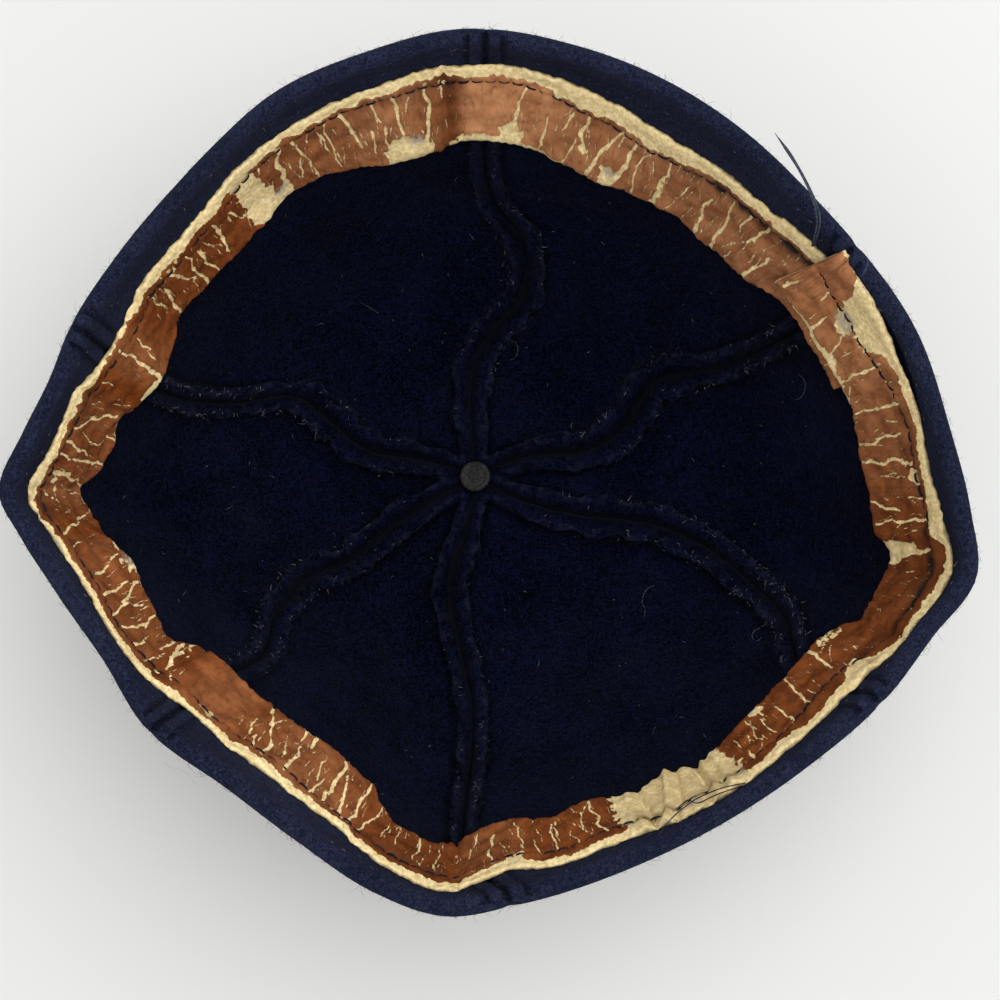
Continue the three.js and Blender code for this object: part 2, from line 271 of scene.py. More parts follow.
def outside(azimuth, down):
    """Points of the outside."""
    azimuth, down = np.broadcast_arrays(np.asarray(azimuth, float), np.asarray(down, float))
    radius = PROFILE_CURVES["radius"](down)
    for edge, mean in MEAN.items():
        radius = radius + PROFILE_CURVES[edge](down) * (OUTLINE_CURVES[edge](azimuth) - mean)
    lean = OUTLINE_CURVES["band_foot"](azimuth) - MEAN["band_foot"]
    height = PROFILE_CURVES["height"](down) - PROFILE_CURVES["sink"](down) * lean
    run = PROFILE_CURVES["radius"](down + SLOPE_STEP) - PROFILE_CURVES["radius"](down - SLOPE_STEP)
    fall = PROFILE_CURVES["height"](down + SLOPE_STEP) - PROFILE_CURVES["height"](down - SLOPE_STEP)
    rise = relief(azimuth, down, radius) / np.hypot(run, fall)
    reach = radius + rise * fall
    x = reach * np.cos(azimuth * DEGREE)
    y = reach * np.sin(azimuth * DEGREE)
    return np.stack([x, y, np.maximum(height - rise * run, 0)], axis=-1)


def inward(azimuth, down):
    """Directions square to the outside, into the hollow."""
    around = outside(azimuth + SQUARE_STEP, down) - outside(azimuth - SQUARE_STEP, down)
    descent = outside(azimuth, down + SQUARE_STEP) - outside(azimuth, down - SQUARE_STEP)
    square = np.cross(around, descent)
    return square / np.linalg.norm(square, axis=-1, keepdims=True)


def inside(azimuth, down, depth):
    """Points at a depth below the outside, measured square to it into the hollow."""
    return outside(azimuth, down) + inward(azimuth, down) * np.asarray(depth)[..., None]


# Meshes

def mesh_piece(name, points, face_sets, material, attributes=None):
    """A smooth mesh object. Points are in millimetres, and each set holds faces with as many corners."""
    mesh = bpy.data.meshes.new(name)
    mesh.vertices.add(len(points))
    mesh.vertices.foreach_set("co", (points * MM).ravel())
    corners = np.concatenate([faces.ravel() for faces in face_sets])
    counts = np.concatenate([np.full(len(faces), faces.shape[1]) for faces in face_sets])
    mesh.loops.add(len(corners))
    mesh.loops.foreach_set("vertex_index", corners)
    mesh.polygons.add(len(counts))
    mesh.polygons.foreach_set("loop_start", np.concatenate([[0], np.cumsum(counts)[:-1]]))
    mesh.polygons.foreach_set("use_smooth", np.ones(len(counts), bool))
    for key, values in (attributes or {}).items():
        kind = "FLOAT" if values.ndim == 1 else "FLOAT_VECTOR"
        field = "value" if values.ndim == 1 else "vector"
        mesh.attributes.new(key, kind, "POINT").data.foreach_set(field, values.ravel())
    mesh.update(calc_edges=True)
    mesh.validate()
    mesh.materials.append(material)
    piece = bpy.data.objects.new(name, mesh)
    bpy.context.scene.collection.objects.link(piece)
    return piece


def quads_between(first, second):
    """Faces between two lines of point numbers."""
    return np.stack([first[:-1], second[:-1], second[1:], first[1:]], axis=-1)


def grid_faces(ids):
    return np.concatenate([quads_between(ids[i], ids[i + 1]) for i in range(len(ids) - 1)])


def solid_between(outer, inner):
    """Points and faces of a closed solid between two grids, whose rows go down and whose columns go round.
    The grids have as many columns, and may have other numbers of rows."""
    columns = outer.shape[1]
    out = np.arange(outer.shape[0] * columns).reshape(-1, columns)
    inn = out.size + np.arange(inner.shape[0] * columns).reshape(-1, columns)
    face_sets = [
        grid_faces(out),
        grid_faces(inn)[:, ::-1],
        quads_between(inn[0], out[0]),
        quads_between(out[-1], inn[-1]),
        np.concatenate([inn[:, 0], out[::-1, 0]])[None],
        np.concatenate([out[:, -1], inn[::-1, -1]])[None],
    ]
    return np.concatenate([outer.reshape(-1, 3), inner.reshape(-1, 3)]), face_sets


# Felt panels

FOLD = FELT + FELT_GAP / 2
FOLD_STEPS = 7
FOLD_FROM = 5
PANEL_ROWS = 178
MIDDLE_COLUMNS = 50
LEVEL_FROM = 20
DEEPEST_DENT = -0.3
STITCH = 3

# Half of a seam from the inside: distance from the seam, depth, and how far it curls, over the pressed
# allowance, round its raw edge and down to the felt
SEAM_SECTION = (
    (0.0, 2.3, 0),
    (0.2, 3.0, 0),
    (0.5, 3.7, 0),
    (0.9, 4.2, 0),
    (1.5, 4.5, 0.2),
    (2.1, 4.6, 0.5),
    (2.7, 4.5, 0.8),
    (3.15, 4.2, 1.0),
    (3.35, 3.7, 1.0),
    (3.25, 3.1, 0.9),
    (2.95, 2.6, 0.4),
    (3.2, 2.15, 0),
    (4.0, 2.0, 0),
)
WIDEST_SHARE = 0.42
CURL = 1.1
CURLED = 0.5
PUCKER = 0.12
PUCKER_WIDTH = 2
BEHIND_BAND = 0.4
VALLEY = 0.9
VALLEY_WIDTH = 1.3
VALLEY_FROM = 3
HEM_BUNCHING = 0.8
HEM_MARK = 0.9
HEM_MARK_WIDTH = 0.7
PRESSED_FROM = 3
PRESSED_OVER = 5
# Painted light: the felt is painted paler near the rim, where more light falls, fading out over these
# distances down into the hollow
RIM_LIGHT_TO = 38
RIM_LIGHT_FADE = 26
FAR_FROM_SEAM = 9

# Uneven felt and seams: height, seed and wavelength of each layer of noise
FELT_WAVES = ((0.35, 11, 17), (0.1, 12, 6))
SEAM_SEED = 100
RAGGED = ((0.2, 0, 11), (0.06, 3, 3.4))
LIFTED = ((0.6, 5, 13), (0.3, 7, 5))
LUMPS = ((0.35, 9, 4.5),)

felt_waves = layered_noise(FELT_WAVES, 3)


def hem_depth(downs):
    """Depth of the hem's inside, which the stitches press flatter behind the sweatband."""
    return 2 * FOLD - HEM_PRESSED * ease((downs - PRESSED_FROM) / PRESSED_OVER)


def panel_downs():
    """Distances down from the rim, and the angles round the rim's fold, of a panel's two faces."""
    angles = np.linspace(FOLD_FROM, 90, FOLD_STEPS) * DEGREE
    rolled = FOLD * (1 - np.cos(angles))
    below = np.linspace(FOLD, PANEL_TIP, PANEL_ROWS - FOLD_STEPS + 1)[1:]
    return np.concatenate([rolled, below]), np.concatenate([angles, np.full(len(below), 90 * DEGREE)])


def gore(index, downs):
    """A panel's first azimuth, its width and its millimetres in a degree, at each distance down."""
    first = SEAM_CURVES[index](downs)
    second = SEAM_CURVES[(index + 1) % len(SEAM_CURVES)](downs)
    sweep = np.mod(turn_between(first, second), TURN)
    middle = outside(first + sweep / 2, downs)
    scale = DEGREE * np.hypot(middle[:, 0], middle[:, 1])
    gap = -SEAM_OVERLAP / 2 / scale
    return first + gap, (sweep - 2 * gap) * scale, scale


def trimmed(downs):
    """Share of the allowances' thickness that is left near the crown button."""
    return TRIMMED + (1 - TRIMMED) * ease((PANEL_TIP - downs) / TIP_TRIM)


def seam_side(index, side, downs, width):
    """Offsets from a seam and depths of the inside near it, for one side, with one row for each distance."""
    off, depth, curl = np.array(SEAM_SECTION).T
    seed = SEAM_SEED + 10 * index + side
    ragged = 1 + layered_noise(RAGGED, 1, seed)(downs)
    offs = off[None, :] * ragged[:, None]
    narrow = np.minimum(1, WIDEST_SHARE * width / offs.max(axis=1))
    offs = offs * narrow[:, None]
    places = np.stack(np.broadcast_arrays(downs[:, None], 2 * offs), axis=-1)
    lumps = layered_noise(LUMPS, 2, seed)(places) * np.minimum(1, depth - FELT)
    lifted = CURL * (CURLED + layered_noise(LIFTED, 1, seed)(downs))
    near = np.exp(-(off / PUCKER_WIDTH) ** 2)
    pucker = PUCKER * np.cos(2 * math.pi * downs / STITCH)[:, None] * near
    depths = depth + curl * lifted[:, None] + pucker + lumps
    pressed = BEHIND_BAND + (1 - BEHIND_BAND) * ease((downs - HEM_END) / BAND_WIDTH)
    return offs, FELT + (depths - FELT) * (trimmed(downs) * pressed)[:, None]


def panel_section(index, downs, width):
    """Distances across from a panel's first seam, and the depths of its inside there."""
    left, left_depth = seam_side(index, 0, downs, width)
    right, right_depth = seam_side((index + 1) % len(SEAM_CURVES), 1, downs, width)
    start = left[:, -1:]
    end = width[:, None] - right[:, -1:]
    shares = (np.arange(1, MIDDLE_COLUMNS) / MIDDLE_COLUMNS)[None, :]
    middle = start + (end - start) * shares
    across = np.concatenate([left, middle, width[:, None] - right[:, ::-1]], axis=1)
    flat = np.full((len(downs), MIDDLE_COLUMNS - 1), float(FELT))
    return across, np.concatenate([left_depth, flat, right_depth[:, ::-1]], axis=1)


def hem_across(width, columns):
    """Distances across the hem, closer together near the seams."""
    even = np.linspace(0, 1, columns)
    even = even - HEM_BUNCHING * np.sin(2 * math.pi * even) / (2 * math.pi)
    return even[None, :] * width[:, None]


def hem_inside(downs, angles, nearest):
    """Depths of the hem, a second layer with a mark at each seam, whose raw edge the sweatband covers."""
    rolled = (FOLD * (np.sin(angles) - 1) + hem_depth(downs))[:, None]
    return rolled - HEM_MARK * np.exp(-(nearest / HEM_MARK_WIDTH) ** 2)


def felt_panel(index, material):
    """A gore between two seams, with its folded hem and its two pressed allowances."""
    downs, angles = panel_downs()
    first, width, scale = gore(index, downs)
    across, depth = panel_section(index, downs, width)
    hem = (downs < HEM_END)[:, None]
    across = np.where(hem, hem_across(width, across.shape[1]), across)
    nearest = np.minimum(across, width[:, None] - across)
    depth = np.where(hem, hem_inside(downs, angles, nearest), depth)

    # The outside rolls in a little at both seams
    valley = VALLEY * np.exp(-(nearest / VALLEY_WIDTH) ** 2) * ease(downs / VALLEY_FROM)[:, None]
    skin = np.where(hem, FOLD * (1 - np.sin(angles))[:, None], 0) + valley

    azimuth = first[:, None] + across / scale[:, None]
    rows = np.broadcast_to(downs[:, None], azimuth.shape)
    base = outside(azimuth, rows)
    square = inward(azimuth, rows)
    waves = felt_waves(base) * (ease(downs / LEVEL_FROM) * ease((PANEL_TIP - downs) / LEVEL_FROM))[:, None]
    outer = base + square * (skin + np.maximum(waves, DEEPEST_DENT))[..., None]
    outer[..., 2] = np.maximum(outer[..., 2], 0)
    inner = base + square * (depth + waves)[..., None]
    points, face_sets = solid_between(outer, inner)
    # Painted light: a share, on both faces, that paints the felt paler near the rim and fades out into the
    # hollow
    rim_light = np.broadcast_to(ease((RIM_LIGHT_TO - downs) / RIM_LIGHT_FADE)[:, None], nearest.shape).ravel()
    attributes = {
        "seam": np.concatenate([np.full(nearest.size, float(FAR_FROM_SEAM)), nearest.ravel()]),
        "rim_light": np.concatenate([rim_light, rim_light]),
    }
    piece = mesh_piece(f"felt_panel_{index + 1}", points, face_sets, material, attributes)
    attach(piece, "root")
    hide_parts(f"panel_{index + 1}")


# Sweatband

BAND_COLUMNS = 2300
SEWN_ROWS = 10
FREE_ROWS = 28
BACK_ROWS = 3
BACK_OFF = 0.05
OVER_RIM = 2
OVER_RIM_FROM = 6
OVER_RIM_WIDTH = 6
END_FROM = 385
END_CUT = 0.9
END_SLANT = 4.4
END_REACH = 10
END_CORNER = 1.2
STITCHED_TO = 391

# The sweatband by azimuth, which goes on past 360 on the end that lies on top. Distances are across the
# strip: its outer edge, the inner side of the bare strip along it, the stitches, the free edge, and the
# bare line along that. The seventh column is the skin's pale bloom together with painted highlight, dark its
# grime, and old how far it has cracked.
WEAR_COLUMNS = ("azimuth", "sewn", "strip", "stitch", "free", "line", "haze_and_highlight", "dark", "old")
WEAR = (
    (12, 1, 4, 6, 27, 0.4, 0.5, 0.5, 1),
    (28, 0.5, 4, 6, 27, 0.4, 0.6, 0.6, 1),
    (33, -0.4, 3.8, 5.8, 27.5, 0.3, 0.6, 0.8, 1),
    (38, 1, 3.8, 6, 28, 0.3, 0.6, 0.7, 1),
    (44, 1.8, 4.4, 6.4, 28, 0.3, 0.6, 0.7, 1),
    (50, 2, 5.4, 7.6, 26.5, 0.3, 0.6, 0.6, 1),
    (56, 2.4, 7.4, 8.8, 26.8, 0.3, 0.6, 0.4, 1),
    (60, 2.2, 8.2, 9.4, 26.8, 0.3, 0.6, 0.3, 1),
    (66, 2, 6.6, 8.8, 27, 0.4, 0.6, 0.3, 1),
    (72, 1, 6.2, 7.6, 27.3, 0.4, 0.7, 0.3, 1),
    (78, 0, 4.4, 6.2, 25.8, 1.6, 0.8, 0.1, 0.6),
    (84, -0.8, 2, 4.6, 25, 2.4, 1, 0, 0.1),
    (90, -0.8, 2, 4.6, 25, 2.8, 1, 0, 0.1),
    (93.4, -0.8, 1.6, 4.6, 26, 0.8, 0.2, 0.5, 0.4),
    (96, -0.8, 1.2, 4.6, 26.8, 0.4, 0.3, 0.4, 0.8),
    (102, -0.2, 2.2, 4.8, 27.3, 0.3, 0.6, 0.3, 1),
    (108, 0, 2.3, 4.8, 27.8, 0.4, 0.5, 0.3, 1),
    (114, -0.8, 2, 4, 27, 0.5, 0.4, 0.1, 1),
    (120, -0.6, 1.6, 3.9, 26.5, 0.8, 0.3, 0.1, 1),
    (126, -1, 1.8, 4.2, 26.5, 0.8, 0.3, 0.2, 1),
    (132, -1.4, 2.3, 5.4, 27.8, 0.3, 0.1, 0.1, 0.8),
    (138, -1, 2.3, 5.8, 28, 0.3, 0.1, 0.1, 0.8),
    (144, -0.5, 2.3, 5.8, 28, 0.3, 0.1, 0.1, 0.8),
    (150, -0.8, 2.3, 6, 27, 0.5, 0.1, 0.1, 0.8),
    (154, -1.4, 1.3, 5.4, 26.3, 0.5, 0.1, 0.1, 0.6),
    (158, 0.2, 1.9, 6.6, 27.8, 0.3, 0.1, 0, 0.1),
    (164, 1.8, 1.9, 6, 27.5, 0.5, 0.3, 0, 0.2),
    (168, -0.2, 1.2, 4.8, 27.5, 0.5, 0.05, 0.1, 0.3),
    (172, -3.6, -0.3, 3.2, 25, 1, 0.2, 0.3, 0.6),
    (176, -2.2, -0.1, 2.8, 28, 0.5, 0.2, 0.1, 0.8),
    (180, -2, -0.1, 2.4, 27, 0.8, 0.2, 0.2, 1),
    (184, -3.6, -0.1, 2.2, 23.8, 1, 0.3, 0.4, 1),
    (188, -4, -3.1, 1, 27, 1, 0.2, 0.5, 0.8),
    (192, -3, -2.3, 1.4, 25, 0.3, 0.1, 0.2, 0.2),
    (195, -2.6, -1.9, 1.8, 22, 1.5, 0.2, 0.3, 0.6),
    (198, -2.4, -1.5, 2.4, 26, 1, 0.2, 0.1, 0.6),
    (204, -3, -1.8, 2.6, 24.3, 0.5, 0.2, 0.1, 0.8),
    (208, -4, -2.1, 2.2, 24.3, 0.5, 0.2, 0.2, 0.8),
    (212, -3.6, -1.1, 3, 22.8, 1, 0.2, 0.3, 0.8),
    (216, -2.6, -0.6, 4.4, 27.3, 1, 0.1, 0.1, 0.2),
    (220, -0.4, 1.4, 6, 26.2, 0.3, 0.2, 0, 0.05),
    (226, 1.6, 2.8, 6.6, 27, 0.3, 0.3, 0, 0.05),
    (232, -0.6, 2.4, 5.8, 27.7, 0.5, 0.2, 0, 0.7),
    (238, -0.6, 1.6, 5.2, 28, 0.6, 0.3, 0.1, 1),
    (244, -0.6, 1.6, 5.4, 28, 0.6, 0.3, 0.1, 1),
    (250, -0.4, 1.2, 5, 26, 0.8, 0.2, 0.1, 1),
    (254, -1.8, 0.1, 3.6, 23, 1, 0.1, 0.3, 1),
    (258, -3, -1.1, 3, 24, 0.8, 0.1, 0.4, 0.9),
    (262, -3.6, -0.9, 2.6, 23.2, 1, 0.1, 0.4, 0.9),
    (267, -3.4, -0.1, 4.4, 26, 0.5, 0.1, 0.4, 0.7),
    (270, -1.4, 2.1, 7, 28.5, 0.3, 0.2, 0.1, 0.7),
    (276, 0.6, 5.3, 7.8, 28, 0.3, 0.2, 0.1, 0.8),
    (280, -2.6, -0.6, 5.2, 24.8, 0.5, 0.1, 0.1, 0.9),
    (284, -3.8, -1.5, 4.6, 23.6, 0.5, 0.1, 0.1, 0.9),
    (288, -2.6, -0.5, 4.6, 26.8, 0.5, 0.1, 0.1, 0.9),
    (296, -3.6, 0.3, 4, 25.2, 0.5, 0.1, 1.1, 0.2),
    (299, -4.4, 0.3, 4.6, 28.2, 0.5, 0.1, 1.1, 0.2),
    (304, -4.4, 0.3, 5.4, 28, 0.5, 0.1, 1.1, 0.2),
    (306, -4.6, 0.3, 5.2, 25.6, 0.5, 0.1, 1.1, 0.2),
    (312, -3.4, -0.1, 6.2, 28.2, 0.5, 0.1, 0.1, 0.8),
    (316, -1.4, 3.7, 8, 27.5, 0.5, 0.1, 0.2, 0.8),
    (320, -0.6, 2.4, 8.8, 27.5, 0.5, 0.1, 0.3, 0.7),
    (326, -1, 2.2, 8.8, 25.6, 0.5, 0.1, 0.3, 0.7),
    (330, -1.8, 7.6, 8, 27, 1, 0.1, 0.4, 0.7),
    (334, -4.6, -2, 5, 27.5, 0.5, 0.1, 0.5, 0.3),
    (337, -4, -1.8, 4.4, 22, 0.5, 0.1, 0.6, 0.6),
    (340, -3.4, 0, 5.4, 25, 0.3, 0.1, 0.7, 0.8),
    (344, -3, 0, 6.4, 27, 0.3, 0.1, 0.8, 0.8),
    (348, -2.8, -0.5, 6.2, 26, 0.8, 0.1, 0.8, 0.9),
    (352, 0.2, 5, 6.8, 28.6, 0.5, 0.1, 0.5, 1),
    (356, 0.8, 3.4, 6.4, 27.7, 0.4, 0.2, 0.4, 1),
    (360, -1, 1, 4.6, 27.7, 0.4, 0.3, 0.4, 1),
    (365, -3.6, -1, 3.8, 26.5, 0.4, 0.4, 0.3, 0.8),
    (368, -5, -1.8, 4, 23.4, 0.4, 0.5, 0.2, 0.6),
    (372, -6, -1.4, 5.6, 22.4, 1.6, 0.6, 0.1, 0.6),
    (376, -7.4, 4.6, 6.6, 22.6, 3, 0.6, 0.1, 0.5),
    (380, -8.8, 4.6, 7, 22.8, 2.6, 0.6, 0.1, 0.3),
    (384, -10, -10, 6, 22.8, 2, 0.6, 0, 0.15),
    (388, -11, -11, 4.6, 22.4, 1, 0.6, 0, 0.1),
    (393, -11.6, -11.6, 3.4, 20.6, 0.8, 0.6, 0, 0.1),
)

# The large cracks: azimuth and distance across at both ends, and width at both ends
CRACKS = (
    (37.6, 6, 38.0, 14, 0.9, 0.9), (38.0, 13, 41.5, 24, 0.6, 0.3), (37.8, 14, 36.4, 19, 0.4, 0.3),
    (34.4, 15, 35.7, 27, 0.7, 1.4), (40.7, 6, 40.9, 15, 0.8, 0.5), (44.1, 7, 43.4, 14, 0.5, 0.8),
    (43.4, 13, 43.0, 28, 0.8, 1.2), (47.5, 12, 46.9, 27, 0.7, 1.2), (51.2, 12, 52.3, 20, 0.4, 0.4),
    (52.6, 21, 53.1, 25, 0.4, 0.5), (55.5, 9, 55.8, 27, 0.6, 1.9), (58.5, 8, 61.0, 16, 0.6, 0.5),
    (60.6, 16, 59.6, 26, 0.5, 0.6), (61.8, 10, 62.4, 18, 0.8, 1.2), (62.4, 17, 63.8, 27, 1.2, 2.6),
    (64.4, 9, 66.6, 16, 0.7, 0.9), (66.6, 15, 68.6, 27, 0.9, 1.5), (70.3, 8, 71.1, 15, 0.8, 1.2),
    (71.1, 14, 70.3, 19, 1.1, 0.6), (73.0, 9, 74.5, 15, 0.7, 0.5), (72.0, 17, 73.4, 27, 0.3, 0.7),
    (77.0, 12, 78.0, 26, 0.3, 0.9), (39.8, 22, 39.9, 27, 0.4, 0.7), (35.2, 10, 36.1, 14, 0.3, 0.3),
    (81.2, 5, 82.4, 11, 0.7, 0.5), (82.4, 10, 82.8, 18, 0.6, 1.4), (95.6, 3, 95.0, 9, 0.7, 0.4),
    (97.6, 3, 97.8, 14, 0.9, 1.0), (97.8, 13, 99.0, 27, 1.0, 1.3), (100.5, 6, 101.5, 11, 0.7, 0.4),
    (103.0, 4, 102.5, 18, 1.0, 0.8), (105.8, 10, 105.0, 20, 0.5, 0.5), (106.8, 4, 105.8, 12, 0.7, 0.4),
    (107.4, 14, 107.3, 22, 0.7, 0.5), (111.8, 4, 109.5, 19, 1.1, 0.7), (115.0, 3, 114.3, 17, 0.6, 0.5),
    (114.3, 16, 113.8, 25, 0.5, 0.5), (116.0, 8, 114.8, 18, 0.6, 0.4), (117.6, 5, 118.2, 9, 0.6, 0.4),
    (120.8, 4, 119.6, 12, 0.8, 0.6), (119.6, 11, 118.0, 26, 0.5, 0.6), (119.6, 11, 121.5, 23, 0.6, 0.4),
    (123.8, 3, 124.0, 14, 1.5, 1.4), (124.0, 13, 124.4, 27, 1.4, 2.6), (127.3, 3, 127.8, 7, 0.6, 0.5),
    (136.4, 8, 134.0, 19, 0.8, 0.4), (139.4, 6, 138.9, 13, 0.8, 1.0), (138.9, 12, 139.6, 24, 1.0, 0.7),
    (142.0, 9, 140.2, 19, 0.3, 0.4), (143.4, 10, 144.0, 18, 0.9, 0.9), (144.0, 17, 143.0, 27, 0.9, 0.6),
    (145.7, 6, 145.9, 15, 0.6, 0.7), (145.9, 14, 146.1, 27, 0.7, 1.0), (149.5, 6, 148.6, 12, 1.2, 0.9),
    (148.6, 11, 147.0, 21, 0.8, 0.6), (151.7, 9, 152.4, 17, 1.0, 0.9), (152.4, 16, 153.2, 26, 0.9, 1.2),
    (154.6, 5, 154.2, 16, 0.5, 0.5), (160.8, 9, 161.4, 16, 0.6, 0.5), (161.4, 15, 162.4, 20, 0.5, 0.4),
    (163.6, 4, 163.7, 16, 0.7, 0.8), (163.7, 15, 164.2, 27, 0.8, 1.6), (168.8, 5, 168.2, 11, 0.4, 0.3),
    (176.0, 4, 173.8, 11, 0.8, 0.9), (173.8, 10, 172.1, 22, 0.9, 0.8), (176.0, 10, 177.0, 15, 0.4, 0.4),
    (177.0, 14, 175.3, 27, 0.4, 0.6), (178.0, 3, 178.5, 16, 0.9, 0.6), (179.8, 2, 179.3, 27, 0.6, 0.9),
    (181.7, 2, 181.8, 12, 1.3, 1.2), (181.8, 11, 182.9, 24, 1.0, 0.8), (192.8, 3, 190.5, 17, 0.9, 0.5),
    (190.5, 16, 189.0, 25, 0.5, 0.4), (195.4, 2, 194.4, 8, 0.6, 0.4), (199.8, 5, 197.0, 20, 0.7, 0.5),
    (202.6, 3, 201.4, 18, 1.0, 0.5), (204.4, 10, 201.6, 23, 0.9, 0.8), (205.6, 3, 204.6, 11, 0.8, 0.5),
    (204.6, 10, 205.3, 20, 0.5, 0.4), (208.0, 4, 208.3, 17, 0.9, 0.8), (208.3, 16, 207.4, 25, 0.8, 0.6),
    (211.2, 2, 211.0, 9, 1.1, 0.5), (211.0, 8, 210.0, 15, 0.5, 0.3), (214.2, 2, 214.2, 13, 0.7, 0.3),
    (213.3, 13, 212.5, 24, 0.6, 0.8), (216.4, 8, 213.6, 23, 0.9, 1.2), (218.4, 4, 217.0, 11, 0.8, 0.3),
    (233.7, 5, 233.3, 11, 0.7, 0.5), (232.2, 9, 231.0, 18, 0.7, 0.4), (235.7, 4, 235.5, 12, 0.9, 0.7),
    (235.5, 11, 233.3, 20, 0.7, 0.6), (233.3, 19, 231.6, 27, 0.6, 0.9), (233.5, 19, 234.4, 26, 0.5, 0.4),
    (238.0, 11, 236.3, 20, 0.5, 0.3), (239.6, 4, 239.2, 20, 0.9, 0.6), (238.4, 23, 238.0, 27, 0.5, 0.9),
    (240.6, 22, 240.0, 27, 0.8, 1.2), (244.2, 4, 244.8, 15, 0.8, 0.4), (244.0, 12, 242.4, 23, 0.6, 0.4),
    (246.5, 4, 246.4, 15, 1.0, 1.0), (246.4, 14, 246.0, 27, 1.0, 1.1), (249.0, 4, 248.6, 11, 1.0, 0.7),
    (248.6, 10, 247.2, 20, 0.7, 0.4), (250.9, 4, 250.6, 25, 0.9, 0.7), (252.3, 4, 253.0, 12, 0.6, 0.6),
    (253.0, 11, 254.2, 21, 0.6, 0.5), (255.5, 7, 256.0, 18, 0.5, 0.4), (257.7, 8, 258.2, 23, 0.4, 0.3),
    (261.0, 7, 261.3, 24, 0.4, 0.9), (264.0, 5, 264.6, 20, 0.6, 0.3), (262.0, 4, 262.0, 10, 0.4, 0.3),
    (270.0, 13, 272.0, 28, 0.3, 0.5), (273.8, 6, 273.4, 15, 0.7, 0.6), (273.4, 14, 274.3, 22, 0.6, 0.9),
    (277.9, 9, 277.0, 25, 0.5, 0.5), (279.7, 4, 279.4, 13, 0.5, 0.3), (282.2, 5, 282.0, 19, 0.4, 0.6),
    (282.7, 12, 282.8, 20, 0.4, 0.5), (285.2, 2, 284.9, 13, 0.4, 0.3), (286.6, 8, 286.6, 20, 0.4, 0.4),
    (289.2, 4, 288.3, 26, 0.8, 0.6), (287.2, 19, 288.2, 25, 0.4, 0.4), (312.0, 7, 312.4, 12, 1.0, 0.4),
    (312.3, 17, 312.0, 23, 0.4, 0.4), (313.6, 8, 315.4, 14, 0.5, 0.4), (314.6, 12, 315.4, 26, 0.4, 0.5),
    (316.6, 11, 316.9, 20, 0.4, 0.4), (317.7, 21, 317.4, 26, 0.5, 1.4), (319.5, 10, 319.8, 19, 0.6, 0.5),
    (322.6, 10, 324.3, 25, 0.8, 0.6), (324.3, 9, 324.3, 13, 0.4, 0.3), (328.0, 12, 328.4, 27, 0.6, 1.2),
    (328.5, 15, 330.6, 20, 0.4, 0.5), (328.8, 20, 331.4, 24, 0.5, 0.6), (348.4, 7, 348.9, 13, 0.8, 1.8),
    (352.0, 8, 352.4, 18, 0.9, 0.6), (352.4, 17, 352.0, 27, 0.6, 0.6), (355.0, 7, 355.0, 12, 0.6, 0.4),
    (353.5, 17, 355.0, 27, 0.8, 0.9), (357.7, 10, 358.5, 22, 0.4, 0.3), (359.1, 4, 359.9, 13, 0.9, 0.9),
    (359.9, 12, 360.6, 27, 0.9, 0.9), (363.2, 7, 363.0, 27, 0.6, 0.9), (364.8, 7, 365.0, 12, 0.6, 0.4),
    (366.6, 3, 367.2, 14, 1.0, 0.6), (367.2, 13, 367.6, 23, 0.6, 0.5), (372.5, 3, 372.7, 25, 0.8, 0.7),
    (369.4, 23, 372.2, 17, 0.5, 0.5), (369.8, 2, 369.8, 6, 0.4, 0.3), (378.6, 12, 376.9, 19, 0.6, 0.5),
    (382.0, 13, 382.1, 25, 0.5, 1.6), (384.8, 6, 384.8, 11, 0.7, 0.4), (383.3, 15, 383.6, 20, 0.3, 0.3),
)

# Places where the skin has come off: azimuth, distance across, half sizes along and across, and how
# much of it is gone
PATCHES = (
    (131.3, 4.5, 3.2, 3.5, 1), (130.6, 11.0, 3.6, 8.0, 1), (129.9, 20.0, 4.4, 9.0, 1),
    (125.5, 24.5, 2.8, 5.0, 1), (102.4, 23.6, 4.8, 5.2, 1), (99.6, 25.0, 3.0, 4.0, 1),
    (83.4, 21.5, 3.0, 4.4, 1), (88.0, 25.0, 8.0, 3.0, 1), (70.2, 18.6, 1.2, 0.9, 1),
    (64.8, 23.5, 2.0, 3.4, 1), (184.8, 7.0, 3.6, 4.0, 0.35), (199.0, 22.0, 3.0, 3.0, 0.4),
    (195.0, 21.0, 2.0, 1.6, 1), (203.0, 25.0, 3.0, 1.8, 1), (215.4, 18.0, 1.6, 8.0, 0.4),
    (166.4, 25.6, 3.4, 2.0, 1), (274.2, 22.0, 0.8, 1.4, 1), (317.4, 25.4, 1.8, 2.2, 1),
    (332.6, 25.8, 3.0, 3.4, 0.8), (330.4, 23.4, 1.8, 2.4, 0.5), (348.9, 18.0, 1.8, 6.0, 1),
    (348.4, 23.5, 3.0, 4.0, 1), (300.9, 12.5, 14.2, 22.0, 1), (295.2, 13.0, 6.4, 24.0, 1),
    (306.4, 13.0, 6.0, 24.0, 1), (352.4, 4.0, 2.6, 2.6, 1), (357.6, 6.5, 1.8, 2.2, 1),
    (377.0, -1.0, 5.0, 8.6, 1), (380.2, 1.0, 3.6, 10.4, 1), (379.6, 9.4, 2.0, 3.4, 1),
    (376.6, 22.0, 2.8, 3.6, 1), (371.4, 22.4, 1.8, 2.2, 0.45), (391.7, 16.5, 0.7, 5.6, 1),
    (276.4, 5.5, 2.2, 2.8, 1), (329.8, 4.6, 2.2, 4.0, 1), (149.0, 4.0, 3.0, 2.4, 0.6),
)

